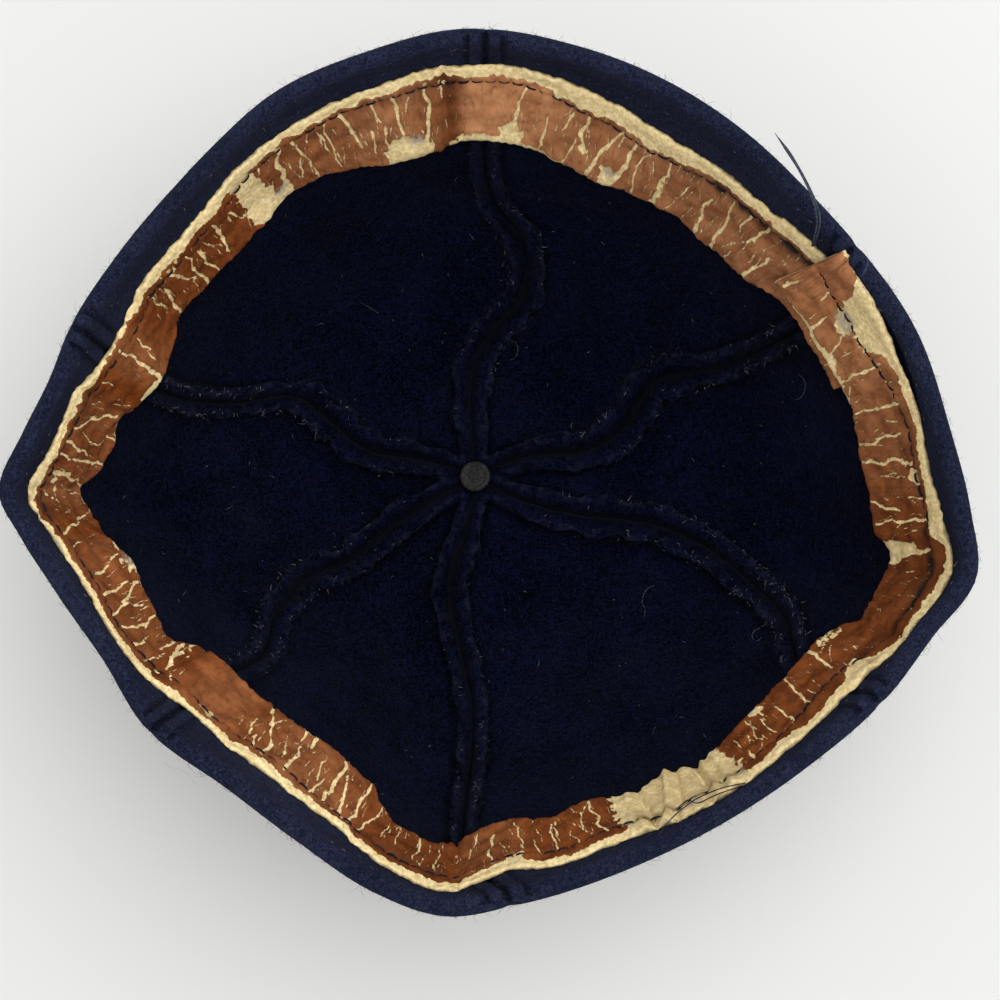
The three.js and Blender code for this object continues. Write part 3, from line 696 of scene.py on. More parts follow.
# Folds: azimuth at the sewn and at the free edge, depth, which is below 0 for a ridge, and width
FOLDS = (
    (94.6, 94.9, 0.6, 0.9), (96.0, 96.4, -0.3, 1.2), (171.0, 171.4, 0.8, 1.0), (154.6, 155.0, 0.5, 1.0),
    (163.4, 163.8, 0.4, 0.7), (168.2, 170.6, -0.4, 1.8), (216.4, 216.8, 0.6, 1.1), (184.6, 183.0, 0.7, 1.4),
    (190.6, 189.8, 0.5, 1.1), (194.8, 195.0, -0.5, 1.4), (231.4, 231.8, 0.4, 0.9), (252.4, 252.9, 0.5, 1.2),
    (268.4, 268.0, 0.7, 1.3), (291.0, 291.4, 0.4, 0.7), (297.4, 300.6, -1.3, 1.0), (299.0, 302.2, 0.8, 0.9),
    (294.2, 294.0, -0.6, 1.3), (295.6, 296.0, 0.8, 0.8), (303.6, 305.4, 0.8, 0.8), (305.2, 306.6, -1.1, 1.0),
    (307.4, 308.4, -0.7, 1.0), (309.2, 310.2, 0.4, 0.8), (331.0, 331.4, 0.5, 0.9), (335.4, 336.4, 0.7, 1.0),
    (339.0, 339.6, 0.4, 1.0), (342.6, 342.4, -0.3, 1.2), (345.2, 345.4, 0.4, 1.0), (350.4, 350.8, -0.7, 1.6),
    (352.6, 353.0, 0.5, 1.2), (368.6, 368.2, 0.4, 1.0),
)

# Grey fibrous spots: azimuth, distance across and radius
SPOTS = (
    (100.5, 20.5, 2.0), (125.5, 21.0, 2.2), (380.0, 8.0, 3.0), (64.5, 22.0, 1.6), (301.4, 2.0, 2.4),
    (308.6, 3.0, 1.8), (198.0, 23.0, 2.0),
)

# What a field of wear says where a crack or patch is far away
FAR = -3.0

# Seeds of the random draws
CRACK_SEED = 33
SPECK_SEED = 34
SPOKE_SEED = 5
OUTER_SEEDS = (51, 52)
INNER_SEEDS = (61, 62)
LINT_SEEDS = (71, 72)

# Cracks: how wide they are drawn, how much they widen and wander, and the reach of their influence
CRACK_WIDTH = 0.78
CRACK_REACH = 4
WANDER_LENGTH = 6
WANDERING = ((0.35, 1000, 9), (0.1, 2000, 3))
WIDENING = ((0.25, 3000, 4),)
SMALL_CRACK_STEP = 0.65
SMALL_CRACK_START = (4, 22)
SMALL_CRACK_LENGTH = (2, 8)
SMALL_CRACK_SLANT = 0.25
SMALL_CRACK_WIDTH = (0.14, 0.32)
SMALL_CRACK_TAPER = (0.2, 0.9)
END_MARGIN = 2
SPECK_STEP = 2.2
SPECK_REACH = 2
SPECK_SIZE = (0.12, 0.4)
SPECK_PLACES = (5, 27)
SPECK_STRETCH = 1.6
PATCH_REACH = 3
PATCH_ROUGHNESS = 0.35
SCUFF_DEPTH = 0.25
SCUFFED = 0.9
SCUFF_ROUGHNESS = 1.2
STRIP_ROUGHNESS = 0.2
LINE_ROUGHNESS = 0.25

# The relief of the leather's front, in millimetres
PROUD = 0.1
CORE_DEPTH = 0.3
CORE_EDGE = 0.15
CURLED_SKIN = 0.16
SKIN_EDGE = 0.35
SKIN_EDGE_WIDTH = 0.3
THIN_EDGES = 0.5
SEWN_THINNING = 0.5
FREE_THINNING = 0.4
GROOVE = 0.45
GROOVE_WIDTH = 0.6
STITCH_PULL = 0.15
STITCH_PULL_WIDTH = 2
GRIME = 0.4
STITCH_GRIME = 1.2
STAINING = 0.5
GRIME_WIDTH = 1.8

# Height, seed and wavelength of each layer of noise
SEWN_RAGGED = ((0.3, 21, 6), (0.16, 22, 2))
FREE_RAGGED = ((0.25, 23, 9), (0.12, 24, 2.5))
ROUGH = ((1, 25, 3.2), (0.5, 26, 1.3))
SCALLOPS = ((0.45, 27, 6), (0.25, 30, 2.2))
BUCKLES = ((0.22, 28, 8), (0.07, 29, 2.5))
STAINS = ((1, 31, 9),)

WEAR_CURVES = column_curves(WEAR_COLUMNS, WEAR)


def band_depth(azimuth, share):
    """Depth of the sweatband's back, at a share of its width from the sewn edge."""
    sewn = hem_depth(BAND_TOP) + BAND_SEAT
    free = FELT + PIECE_GAP + band_off(azimuth)
    climb = (azimuth - TURN - BAND_START + BAND_CLIMB) / BAND_CLIMB
    lift = (LEATHER + PIECE_GAP) * ease(climb)
    return sewn + (free - sewn) * ease((share - BAND_FLAT) / (1 - BAND_FLAT)) + lift


def band_point(azimuth, across, raise_by=0.0):
    """Points at a distance across the sweatband from its sewn edge, raised from its back."""
    share = np.clip(across / BAND_WIDTH, 0, 1)
    down = BAND_TOP + across
    uneven = felt_waves(outside(azimuth, down)) * ease(down / LEVEL_FROM)
    over_rim = OVER_RIM * ease((-across - OVER_RIM_FROM) / OVER_RIM_WIDTH)
    return inside(azimuth, down, band_depth(azimuth, share) + uneven - over_rim + raise_by)


def cut_slant(azimuth, across):
    """How far back the end that lies on top is cut off, in degrees, more so at its sewn edge."""
    slant = END_CUT + END_SLANT * (1 - np.clip((across + END_REACH) / (BAND_WIDTH + END_REACH), 0, 1))
    return slant * ease((azimuth - END_FROM) / (BAND_START + BAND_SWEEP - END_FROM))


def band_stations():
    """Azimuths along the sweatband, and the length along its middle at each."""
    azimuths = np.linspace(BAND_START, BAND_START + BAND_SWEEP, BAND_COLUMNS)
    middle = band_point(azimuths, np.full(len(azimuths), BAND_WIDTH / 2))
    steps = np.linalg.norm(np.diff(middle, axis=0), axis=1)
    return azimuths, np.concatenate([[0], np.cumsum(steps)])


class Strip:
    """The sweatband laid out flat, as a grid of lengths along it and distances across it."""

    def __init__(self):
        self.azimuths, self.along = band_stations()
        self.wear = {name: curve(self.azimuths)[:, None] for name, curve in WEAR_CURVES.items()}
        cut = self.rounded_corner()
        self.sewn = self.wear["sewn"] + cut + layered_noise(SEWN_RAGGED, 1)(self.along)[:, None]
        self.free = self.wear["free"] - cut + layered_noise(FREE_RAGGED, 1)(self.along)[:, None]
        stitch = self.wear["stitch"]
        above = self.sewn + (stitch - self.sewn) * np.linspace(0, 1, SEWN_ROWS)
        below = stitch + (self.free - stitch) * np.linspace(0, 1, FREE_ROWS)
        self.across = np.concatenate([above, below[:, 1:]], axis=1)
        self.lengths = np.broadcast_to(self.along[:, None], self.across.shape)
        self.flat = np.stack([self.lengths, self.across], axis=-1)
        self.from_stitches = self.across - stitch

    def rounded_corner(self):
        """How far the corners of the end that lies on top are rounded off."""
        short = np.maximum(END_CORNER - (self.along[-1] - self.along), 0)
        return (END_CORNER - np.sqrt(np.maximum(END_CORNER ** 2 - short ** 2, 0)))[:, None]

    def length_at(self, azimuth):
        return np.interp(azimuth, self.azimuths, self.along)

    def steps(self, rng, step):
        """Lengths at even steps, left out at random where the leather is less old."""
        for place in np.arange(END_MARGIN, self.along[-1] - END_MARGIN, step):
            azimuth = np.interp(place, self.along, self.azimuths)
            if rng.random() <= WEAR_CURVES["old"](azimuth):
                yield place


def crack_field(strip, path, row):
    """How far one crack is open at each place: positive inside it, and falling with the distance from it."""
    u0, v0, u1, v1, w0, w1 = path
    field = np.full(strip.across.shape, FAR)
    near = (strip.along > min(u0, u1) - CRACK_REACH) & (strip.along < max(u0, u1) + CRACK_REACH)
    u = strip.along[near][:, None]
    v = strip.across[near]
    share = np.clip((v - v0) / (v1 - v0), 0, 1)
    rise = abs(v1 - v0)
    wander = layered_noise(WANDERING, 1, row)(v) * min(1, rise / WANDER_LENGTH)
    middle = u0 + (u1 - u0) * share + wander
    upright = rise / math.hypot(v1 - v0, u1 - u0)
    beyond = np.maximum(np.maximum(min(v0, v1) - v, v - max(v0, v1)), 0)
    width = CRACK_WIDTH * (w0 + (w1 - w0) * share) * (1 + layered_noise(WIDENING, 1, row)(v))
    field[near] = width / 2 - np.hypot((u - middle) * upright, beyond)
    return field


def charted_cracks(strip):
    return [(strip.length_at(a0), v0, strip.length_at(a1), v1, w0, w1) for a0, v0, a1, v1, w0, w1 in CRACKS]


def small_cracks(strip):
    """Short thin cracks between the charted ones."""
    rng = np.random.default_rng(CRACK_SEED)
    paths = []
    for place in strip.steps(rng, SMALL_CRACK_STEP):
        start = rng.uniform(*SMALL_CRACK_START)
        reach = rng.uniform(*SMALL_CRACK_LENGTH)
        slant = rng.normal(0, SMALL_CRACK_SLANT) * reach
        width = rng.uniform(*SMALL_CRACK_WIDTH)
        end_width = width * rng.uniform(*SMALL_CRACK_TAPER)
        paths.append((place, start, place + slant, start + reach, width, end_width))
    return paths


def speck_field(strip):
    """Small spots where the skin has chipped."""
    rng = np.random.default_rng(SPECK_SEED)
    field = np.full(strip.across.shape, FAR)
    for place in strip.steps(rng, SPECK_STEP):
        near = np.abs(strip.along - place) < SPECK_REACH
        size = rng.uniform(*SPECK_SIZE)
        off = strip.across[near] - rng.uniform(*SPECK_PLACES)
        away = np.hypot((strip.along[near][:, None] - place) * SPECK_STRETCH, off)
        field[near] = np.maximum(field[near], size - away)
    return field


def patch_field(strip, rough):
    """Places where the skin has come off, or is only scuffed."""
    field = np.full(strip.across.shape, FAR)
    for azimuth, v, half_along, half_across, gone in PATCHES:
        u = (strip.along - strip.length_at(azimuth))[:, None] / half_along
        away = np.hypot(u, (strip.across - v) / half_across)
        value = (1 - away) * min(half_along, half_across, PATCH_REACH)
        left = 1 - gone
        scuffed = np.minimum(value, SCUFF_DEPTH) - SCUFFED * left + left * SCUFF_ROUGHNESS * rough
        field = np.maximum(field, scuffed if left else value + PATCH_ROUGHNESS * rough)
    return field


def bare_field(strip):
    """Where the core shows: positive there, and falling with the distance from it."""
    rough = layered_noise(ROUGH, 2)(strip.flat)
    inner_side = strip.wear["strip"] + layered_noise(SCALLOPS, 1)(strip.along)[:, None]
    fields = [
        inner_side + STRIP_ROUGHNESS * rough - strip.across,
        strip.across - strip.free + strip.wear["line"] + LINE_ROUGHNESS * rough,
        patch_field(strip, rough),
        speck_field(strip),
    ]
    paths = charted_cracks(strip) + small_cracks(strip)
    fields += [crack_field(strip, path, row) for row, path in enumerate(paths)]
    return np.maximum.reduce(fields)


def fold_field(along, across, length_at):
    """How deep the folds are pressed into the leather."""
    field = np.zeros(across.shape)
    for start, end, depth, width in FOLDS:
        middle = length_at(start) + (length_at(end) - length_at(start)) * across / BAND_WIDTH
        field += depth * np.exp(-((along[:, None] - middle) / width) ** 2)
    return field


def spot_field(strip):
    field = np.zeros(strip.across.shape)
    for azimuth, v, radius in SPOTS:
        away = np.hypot((strip.along - strip.length_at(azimuth))[:, None], strip.across - v)
        field = np.maximum(field, np.exp(-(away / radius) ** 4))
    return field


def leather_relief(strip, bare):
    """Height of the leather's front. The skin stands a little above the core, its edges curl, and the
    stitches pull it in."""
    core = CORE_DEPTH * ease((bare + CORE_EDGE) / (2 * CORE_EDGE))
    curl = CURLED_SKIN * np.exp(-((bare + SKIN_EDGE) / SKIN_EDGE_WIDTH) ** 2)
    sewn_edge = np.exp(-(strip.across - strip.sewn) / SEWN_THINNING)
    free_edge = np.exp(-(strip.free - strip.across) / FREE_THINNING)
    buckle = layered_noise(BUCKLES, 2)(strip.flat)
    groove = GROOVE * np.exp(-(strip.from_stitches / GROOVE_WIDTH) ** 2)
    pull = STITCH_PULL * np.cos(2 * math.pi * strip.lengths / STITCH)
    pull = pull * np.exp(-(strip.from_stitches / STITCH_PULL_WIDTH) ** 2)
    folds = fold_field(strip.along, strip.across, strip.length_at)
    height = LEATHER + PROUD + curl - core - THIN_EDGES * (sewn_edge + free_edge)
    return height + buckle - groove + pull - folds


def slanted_point(strip, across, height):
    """Points of the sweatband, with its end cut off at a slant."""
    azimuths = strip.azimuths[:, None]
    return band_point(azimuths - cut_slant(azimuths, across), across, height)


def grime(strip):
    stain = layered_noise(STAINS, 1)(strip.along)[:, None]
    near = np.exp(-(strip.from_stitches / GRIME_WIDTH) ** 2)
    return strip.wear["dark"] * (GRIME + (STITCH_GRIME + STAINING * stain) * near)


def sweatband(material):
    """The strip of leather inside the rim, with its skin split and partly worn off."""
    strip = Strip()
    bare = bare_field(strip)
    front = slanted_point(strip, strip.across, leather_relief(strip, bare))
    back_across = strip.sewn + (strip.free - strip.sewn) * np.linspace(0, 1, BACK_ROWS)
    back = slanted_point(strip, back_across, BACK_OFF)
    points, face_sets = solid_between(back.transpose(1, 0, 2), front.transpose(1, 0, 2))

    def on_points(values, behind):
        values = np.broadcast_to(values, strip.across.shape)
        return np.concatenate([np.full(back_across.size, behind), values.T.ravel()])

    place = np.stack([strip.lengths, strip.across, 0 * strip.across], axis=-1)
    no_place = np.zeros((back_across.size, 3))
    attributes = {
        "bare": on_points(bare, 1.0),
        "haze_and_highlight": on_points(strip.wear["haze_and_highlight"], 0.0),
        "dark": on_points(grime(strip), 0.0),
        "spot": on_points(spot_field(strip), 0.0),
        "place": np.concatenate([no_place, place.transpose(1, 0, 2).reshape(-1, 3)]),
    }
    piece = mesh_piece("leather_sweatband", points, face_sets, material, attributes)
    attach(piece, "root")
    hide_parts("sweatband")


# Thread and wool fibres

STITCH_RADIUS = 0.24
STITCH_LENGTH = 2.3
STITCH_SIDES = 6
STITCH_SEAT = 0.12
STITCH_SLIP = ((0.25, 41, 9),)

# One stitch: place along it and radius as shares, and how deep it is sunk
STITCH_FORM = (
    (-0.5, 0.4, 0.5),
    (-0.42, 0.9, 0.15),
    (-0.2, 1, 0),
    (0.2, 1, 0),
    (0.42, 0.9, 0.15),
    (0.5, 0.4, 0.5),
)

# Radii at the points of a fibre as shares, its sides, and how deep it is rooted
FIBRE = 0.022
FIBRE_TAPER = np.array([1, 1, 0.3])
FIBRE_SIDES = 3
ROOTED = 0.1
FIBRE_BEND = 0.5
FIBRE_DROOP = 0.3
DOWN_STEPS = 100

# Nap: counts, distances down between which it lies, how far it stands up, and the shape, scale and
# shortest of its lengths
OUTER_FIBRES = 4400
OUTER_FIBRE = 1.4 * FIBRE
OUTER_REACH = (2, 70)
OUTER_HEM = (2.2, 12)
OUTER_RISE = (0.05, 0.85)
OUTER_LENGTHS = (2, 0.45, 0.3)
INNER_FIBRES = 5500
INNER_REACH = (38, 128)
INNER_RISE = (0.05, 0.5)
INNER_LENGTHS = (3, 0.3, 0.3)
SEAM_FIBRES = 4500
SEAM_REACH = (40, 128)
SEAM_SPREAD = (2.6, 0.6)
SEAM_TOP = 4.7

# White lint: how much lies on each seam, in their order, and on the felt, with reaches as above
LINT = (110, 110, 140, 110, 50, 240)
FELT_LINT = 130
LINT_FIBRE = np.array([2, 2, 1]) * FIBRE
LINT_SEAMS = (44, 124)
LINT_REACH = (38, 120)
LINT_HEM = (1, 11)
LINT_RISE = (0.1, 0.7)
LINT_LENGTHS = (2, 0.3, 0.15)
LINT_ON_FELT = 0.4
LINT_ON_HEM = 0.2

# Loose ends and long hairs: points along them, sides, radii, and how the ends get thinner
LOOSE_END_STEPS = 22
LOOSE_END_TAPER = (4, 0.3)
LOOSE_RADIUS = 0.22
TANGLED_RADIUS = 0.13
HAIR_STEPS = 16
HAIR_SIDES = 4

# Places in the photo, read off, with heights: the loose ends of thread and the longest hairs
THREAD_ENDS = (
    ((812, 246, 70), (817, 222, 79), (812, 198, 83), (800, 172, 83), (786, 150, 81), (775, 133, 77)),
    ((814, 246, 70), (820, 222, 79), (815, 200, 82), (803, 175, 82), (790, 153, 80), (779, 138, 76)),
)
TANGLED_ENDS = (
    ((745, 783, 70), (722, 788, 74), (700, 797, 78), (686, 806, 81), (672, 818, 82), (660, 832, 81)),
    ((742, 786, 70), (718, 794, 74), (698, 803, 78), (688, 800, 80), (680, 806, 81), (672, 812, 81)),
)
LONG_HAIRS = (
    ((864, 247, 81), (868, 256, 82), (867, 266, 82), (863, 274, 81), (858, 278, 80)),
    ((352, 298, 10), (358, 301, 10), (365, 305, 10), (372, 309, 10), (378, 313, 10)),
    ((510, 340, 9), (516, 343, 11), (518, 350, 12), (515, 358, 11), (510, 360, 9)),
    ((798, 374, 34), (804, 380, 36), (805, 390, 36), (800, 398, 35), (795, 400, 34)),
    ((655, 585, 14), (646, 590, 16), (642, 602, 17), (645, 609, 16), (644, 618, 14)),
    ((760, 628, 30), (754, 631, 32), (752, 637, 33), (757, 641, 33), (762, 637, 32)),
    ((164, 762, 74), (172, 768, 76), (182, 770, 75), (190, 777, 73), (196, 785, 70)),
)


def photo_place(x, y, height):
    """The point that the camera sees at a place in the photo, at a height."""
    tilt = CAMERA_TILT * DEGREE
    forward = np.array([0, math.sin(tilt), -math.cos(tilt)])
    upward = np.array([0, math.cos(tilt), math.sin(tilt)])
    reach = CAMERA_LENS / SENSOR * PHOTO_WIDTH
    eye = CAMERA_TARGET - CAMERA_DISTANCE * forward
    ray = forward + upward * (PHOTO_WIDTH / 2 - y) / reach
    ray[0] += (x - PHOTO_WIDTH / 2) / reach
    return eye + ray * (height - eye[2]) / ray[2]


def tubes(name, paths, radii, sides, material):
    """Closed tubes along many paths, in one mesh. All have as many points, with a radius at each."""
    count, steps, _ = paths.shape
    along = np.gradient(paths, axis=1)
    along /= np.linalg.norm(along, axis=2, keepdims=True)
    aside = np.cross(along, np.random.default_rng(SPOKE_SEED).normal(size=(count, 1, 3)))
    aside /= np.linalg.norm(aside, axis=2, keepdims=True)
    square = np.cross(along, aside)
    turns = 2 * math.pi * np.arange(sides) / sides
    spokes = aside[:, :, None] * np.cos(turns)[:, None] + square[:, :, None] * np.sin(turns)[:, None]
    points = paths[:, :, None] + spokes * np.asarray(radii)[None, :, None, None]
    ids = np.arange(count * steps * sides).reshape(count, steps, sides)
    following = np.roll(ids, -1, axis=2)
    walls = np.stack([ids[:, :-1], following[:, :-1], following[:, 1:], ids[:, 1:]], axis=-1)
    ends = np.concatenate([ids[:, 0, ::-1], ids[:, -1]])
    piece = mesh_piece(name, points.reshape(-1, 3), [walls.reshape(-1, 4), ends], material)
    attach(piece, "root")


def sweatband_stitches(material):
    """One stitch after another along the sweatband, each sunk at its ends."""
    azimuths, along = band_stations()
    middles = np.arange(STITCH, np.interp(STITCHED_TO, azimuths, along), STITCH)
    offsets, radii, sunk = np.array(STITCH_FORM).T
    turns = np.interp(middles[:, None] + STITCH_LENGTH * offsets, along, azimuths)
    across = WEAR_CURVES["stitch"](turns) + layered_noise(STITCH_SLIP, 1)(middles)[:, None]
    folds = fold_field(middles, across, lambda azimuth: np.interp(azimuth, azimuths, along))
    height = LEATHER - STITCH_SEAT - sunk - np.maximum(folds, 0)
    paths = band_point(turns - cut_slant(turns, across), across, height)
    tubes("sweatband_stitches", paths, STITCH_RADIUS * radii, STITCH_SIDES, material)


def curved(points, steps):
    """A finer path through a few points."""
    points = np.array(points, float)
    stations = np.arange(len(points))
    fine = np.linspace(0, len(points) - 1, steps)
    columns = [smooth_curve(list(zip(stations, points[:, axis])))(fine) for axis in range(3)]
    return np.stack(columns, axis=-1)


def thread_ends(name, ends, radius, material):
    paths = [curved([photo_place(*place) for place in end], LOOSE_END_STEPS) for end in ends]
    radii = radius * np.minimum(1, np.linspace(*LOOSE_END_TAPER, LOOSE_END_STEPS))
    tubes(name, np.array(paths), radii, STITCH_SIDES, material)


def long_hairs(material):
    paths = [curved([photo_place(*place) for place in hair], HAIR_STEPS) for hair in LONG_HAIRS]
    tubes("long_hairs", np.array(paths), np.full(HAIR_STEPS, FIBRE), HAIR_SIDES, material)


def strands(roots, outward, lengths, rises, seed):
    """Curved fibres that start on a surface. Their rise is 0 if they lie on it and 1 if they stand up."""
    rng = np.random.default_rng(seed)
    aside = np.cross(outward, rng.normal(size=roots.shape))
    aside /= np.linalg.norm(aside, axis=1, keepdims=True)
    rise = rng.uniform(*rises, (len(roots), 1))
    direction = outward * rise + aside * np.sqrt(1 - rise ** 2)
    bend = rng.normal(0, FIBRE_BEND, (len(roots), 1))
    curl = np.cross(outward, aside) * bend - outward * rise * FIBRE_DROOP
    shares = np.linspace(0, 1, len(FIBRE_TAPER))[None, :, None]
    run = direction[:, None] * shares + curl[:, None] * shares ** 2
    return roots[:, None] + lengths[:, None, None] * run


def fibre_lengths(rng, count, shape, scale, shortest):
    return rng.gamma(shape, scale, count) + shortest


def joined(faces):
    """Roots and directions of several stretches of felt together."""
    roots = np.concatenate([face[0] for face in faces])
    directions = np.concatenate([face[1] for face in faces])
    return roots, directions


def spread_downs(rng, count, top, bottom):
    """Distances down from the rim, spread evenly over the felt between two of them."""
    steps = np.linspace(top, bottom, DOWN_STEPS)
    area = np.cumsum(PROFILE_CURVES["radius"](steps))
    return np.interp(rng.uniform(area[0], area[-1], count), area, steps)


def rim_places(azimuths, turns):
    """Places round the rim's fold, and the directions off the felt there."""
    square = inward(azimuths, FOLD)
    upward = outside(azimuths, 0) - outside(azimuths, FOLD)
    upward /= np.linalg.norm(upward, axis=1, keepdims=True)
    off = upward * np.sin(turns)[:, None] - square * np.cos(turns)[:, None]
    return inside(azimuths, FOLD, FOLD) + off * FOLD, off


def seam_places(rng, count, reach, shares=None):
    """Places on the seams' allowances near their raw edges, and the directions off the felt there."""
    seams = rng.choice(len(SEAM_CURVES), count, p=shares)
    rows = spread_downs(rng, count, *reach)
    azimuths = np.array([SEAM_CURVES[seam](row) for seam, row in zip(seams, rows)])
    radius = np.hypot(*outside(azimuths, rows)[:, :2].T)
    side = rng.choice([-1, 1], count) * rng.normal(*SEAM_SPREAD, count)
    azimuths = azimuths + side / (radius * DEGREE)
    return inside(azimuths, rows, FELT + (SEAM_TOP - FELT) * trimmed(rows)), inward(azimuths, rows)


def outer_nap(material):
    """Fibres on the outside, the rim and the hem."""
    rng = np.random.default_rng(OUTER_SEEDS[0])
    outer_azimuths, hem_azimuths, rim_azimuths = rng.uniform(0, TURN, (3, OUTER_FIBRES))
    outer_downs = spread_downs(rng, OUTER_FIBRES, *OUTER_REACH)
    hem_downs = rng.uniform(*OUTER_HEM, OUTER_FIBRES)
    roots, directions = joined([
        (outside(outer_azimuths, outer_downs), -inward(outer_azimuths, outer_downs)),
        (inside(hem_azimuths, hem_downs, hem_depth(hem_downs)), inward(hem_azimuths, hem_downs)),
        rim_places(rim_azimuths, rng.uniform(0, math.pi, OUTER_FIBRES)),
    ])
    lengths = fibre_lengths(rng, len(roots), *OUTER_LENGTHS)
    paths = strands(roots - ROOTED * directions, directions, lengths, OUTER_RISE, OUTER_SEEDS[1])
    paths[..., 2] = np.maximum(paths[..., 2], FIBRE)
    tubes("outer_nap", paths, OUTER_FIBRE * FIBRE_TAPER, FIBRE_SIDES, material)


def inner_nap(material):
    """Fibres in the hollow, thicker along the seams' raw edges."""
    rng = np.random.default_rng(INNER_SEEDS[0])
    downs = spread_downs(rng, INNER_FIBRES, *INNER_REACH)
    azimuths = rng.uniform(0, TURN, INNER_FIBRES)
    square = inward(azimuths, downs)
    points = outside(azimuths, downs) + square * FELT
    felt_face = (points + felt_waves(points)[:, None] * square, square)
    roots, directions = joined([felt_face, seam_places(rng, SEAM_FIBRES, SEAM_REACH)])
    lengths = fibre_lengths(rng, len(roots), *INNER_LENGTHS)
    paths = strands(roots - ROOTED * directions, directions, lengths, INNER_RISE, INNER_SEEDS[1])
    tubes("inner_nap", paths, FIBRE * FIBRE_TAPER, FIBRE_SIDES, material)


def lint(material):
    """Pale specks and short pale fibres on the seams and the felt."""
    rng = np.random.default_rng(LINT_SEEDS[0])
    seam_face = seam_places(rng, sum(LINT), LINT_SEAMS, np.array(LINT) / sum(LINT))
    downs = spread_downs(rng, FELT_LINT, *LINT_REACH)
    azimuths = rng.uniform(0, TURN, FELT_LINT)
    hem_downs = rng.uniform(*LINT_HEM, FELT_LINT)
    roots, directions = joined([
        seam_face,
        (inside(azimuths, downs, FELT + LINT_ON_FELT), inward(azimuths, downs)),
        (inside(azimuths, hem_downs, hem_depth(hem_downs) + LINT_ON_HEM), inward(azimuths, hem_downs)),
    ])
    lengths = fibre_lengths(rng, len(roots), *LINT_LENGTHS)
    paths = strands(roots, directions, lengths, LINT_RISE, LINT_SEEDS[1])
    tubes("lint", paths, LINT_FIBRE, FIBRE_SIDES, material)


# Crown button

RING = 96
BUTTON_DENTS = 0.1
RIVET_DENTS = 0.12
DENT_SEED = 81
DENT_LENGTH = 4
BUTTON_PROFILE = (
    (0, 3.6), (2.4, 3.6), (5.2, 3.55), (6.3, 3.3), (7.0, 2.9), (7.4, 2.3), (7.5, 1.8), (7.4, 1.3),
    (7.0, 0.8), (6.3, 0.3), (5.5, 0.05), (4.6, 0.0), (2.4, 0.0), (0, 0.0),
)
RIVET_PROFILE = (
    (0, 2.0), (1.5, 2.0), (1.5, 7.2), (2.8, 7.2), (3.5, 7.3), (3.8, 7.6), (3.8, 8.0), (3.6, 8.3),
    (3.2, 8.45), (2.8, 8.4), (2.5, 8.2), (2.1, 8.1), (1.8, 8.15), (1.5, 8.35), (1.2, 8.45), (0.9, 8.35),
    (0.6, 8.1), (0, 8.0),
)


def turned(name, profile, dents, material, node):
    """A round solid about the crown's middle. Its profile goes from the axis out and back to the axis."""
    radii, heights = np.array(profile, float).T
    turns = np.linspace(0, 2 * math.pi, RING, endpoint=False)
    ring = np.stack([np.cos(turns), np.sin(turns)], axis=-1)
    places = radii[1:-1, None, None] * ring
    uneven = wave_noise(DENT_SEED, DENT_LENGTH)(np.concatenate([places, 0 * places[..., :1]], axis=-1))
    levels = np.clip(heights[1:-1, None] + dents * uneven, heights.min(), heights.max())
    points = np.concatenate([places, levels[..., None]], axis=-1).reshape(-1, 3)
    ends = np.array([[0, 0, heights[0]], [0, 0, heights[-1]]])
    ids = np.arange(len(points)).reshape(-1, RING)
    following = np.roll(ids, -1, axis=1)
    walls = np.stack([ids[:-1], ids[1:], following[1:], following[:-1]], axis=-1).reshape(-1, 4)
    first = np.full(RING, len(points))
    start_fan = np.stack([first, ids[0], following[0]], axis=-1)
    end_fan = np.stack([first + 1, following[-1], ids[-1]], axis=-1)
    piece = mesh_piece(name, np.concatenate([points, ends]), [walls, start_fan, end_fan], material)
    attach(piece, "root")
    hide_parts(node)


# Materials: colours from 0 to 255, and in pairs the darker and the lighter one of a mix

FELT_COLOURS = ((0, 1, 5), (14, 19, 45))
# The paler felt pair paints light on the felt near the rim; its lighter colour also tints the fuzz at the
# raw edges
LIT_RIM_AND_FUZZ_FELT = ((19, 22, 38), (46, 51, 76))
SKIN = ((86, 37, 4), (126, 60, 13))
# The pale skin pair is partly a real bloom on the leather and partly painted highlight
HAZY_AND_HIGHLIT_SKIN = ((164, 108, 72), (204, 146, 102))
CORE = ((206, 180, 124), (252, 234, 184))
GREY_SPOTS = ((110, 98, 82), (206, 196, 176))
DIRTY_SKIN = (38, 26, 22)
DIRTY_CORE = (136, 116, 74)
CREASES = (60, 28, 14)
NAVY_THREAD = ((10, 11, 20), (30, 32, 46))
LOOSE_THREAD = ((30, 34, 42), (70, 76, 88))
WOOL = ((14, 18, 34), (44, 50, 74))
PALE_WOOL = ((60, 62, 72), (150, 150, 156))
TARNISHED_METAL = ((8, 8, 10), (34, 34, 36))
SHEEN_TINT = (0.55, 0.6, 0.85, 1)


def srgb(red, green, blue):
    """A colour from 0 to 255 as linear values."""
    values = np.array([red, green, blue]) / 255
    linear = np.where(values <= 0.04045, values / 12.92, ((values + 0.055) / 1.055) ** 2.4)
    return (*linear.tolist(), 1)


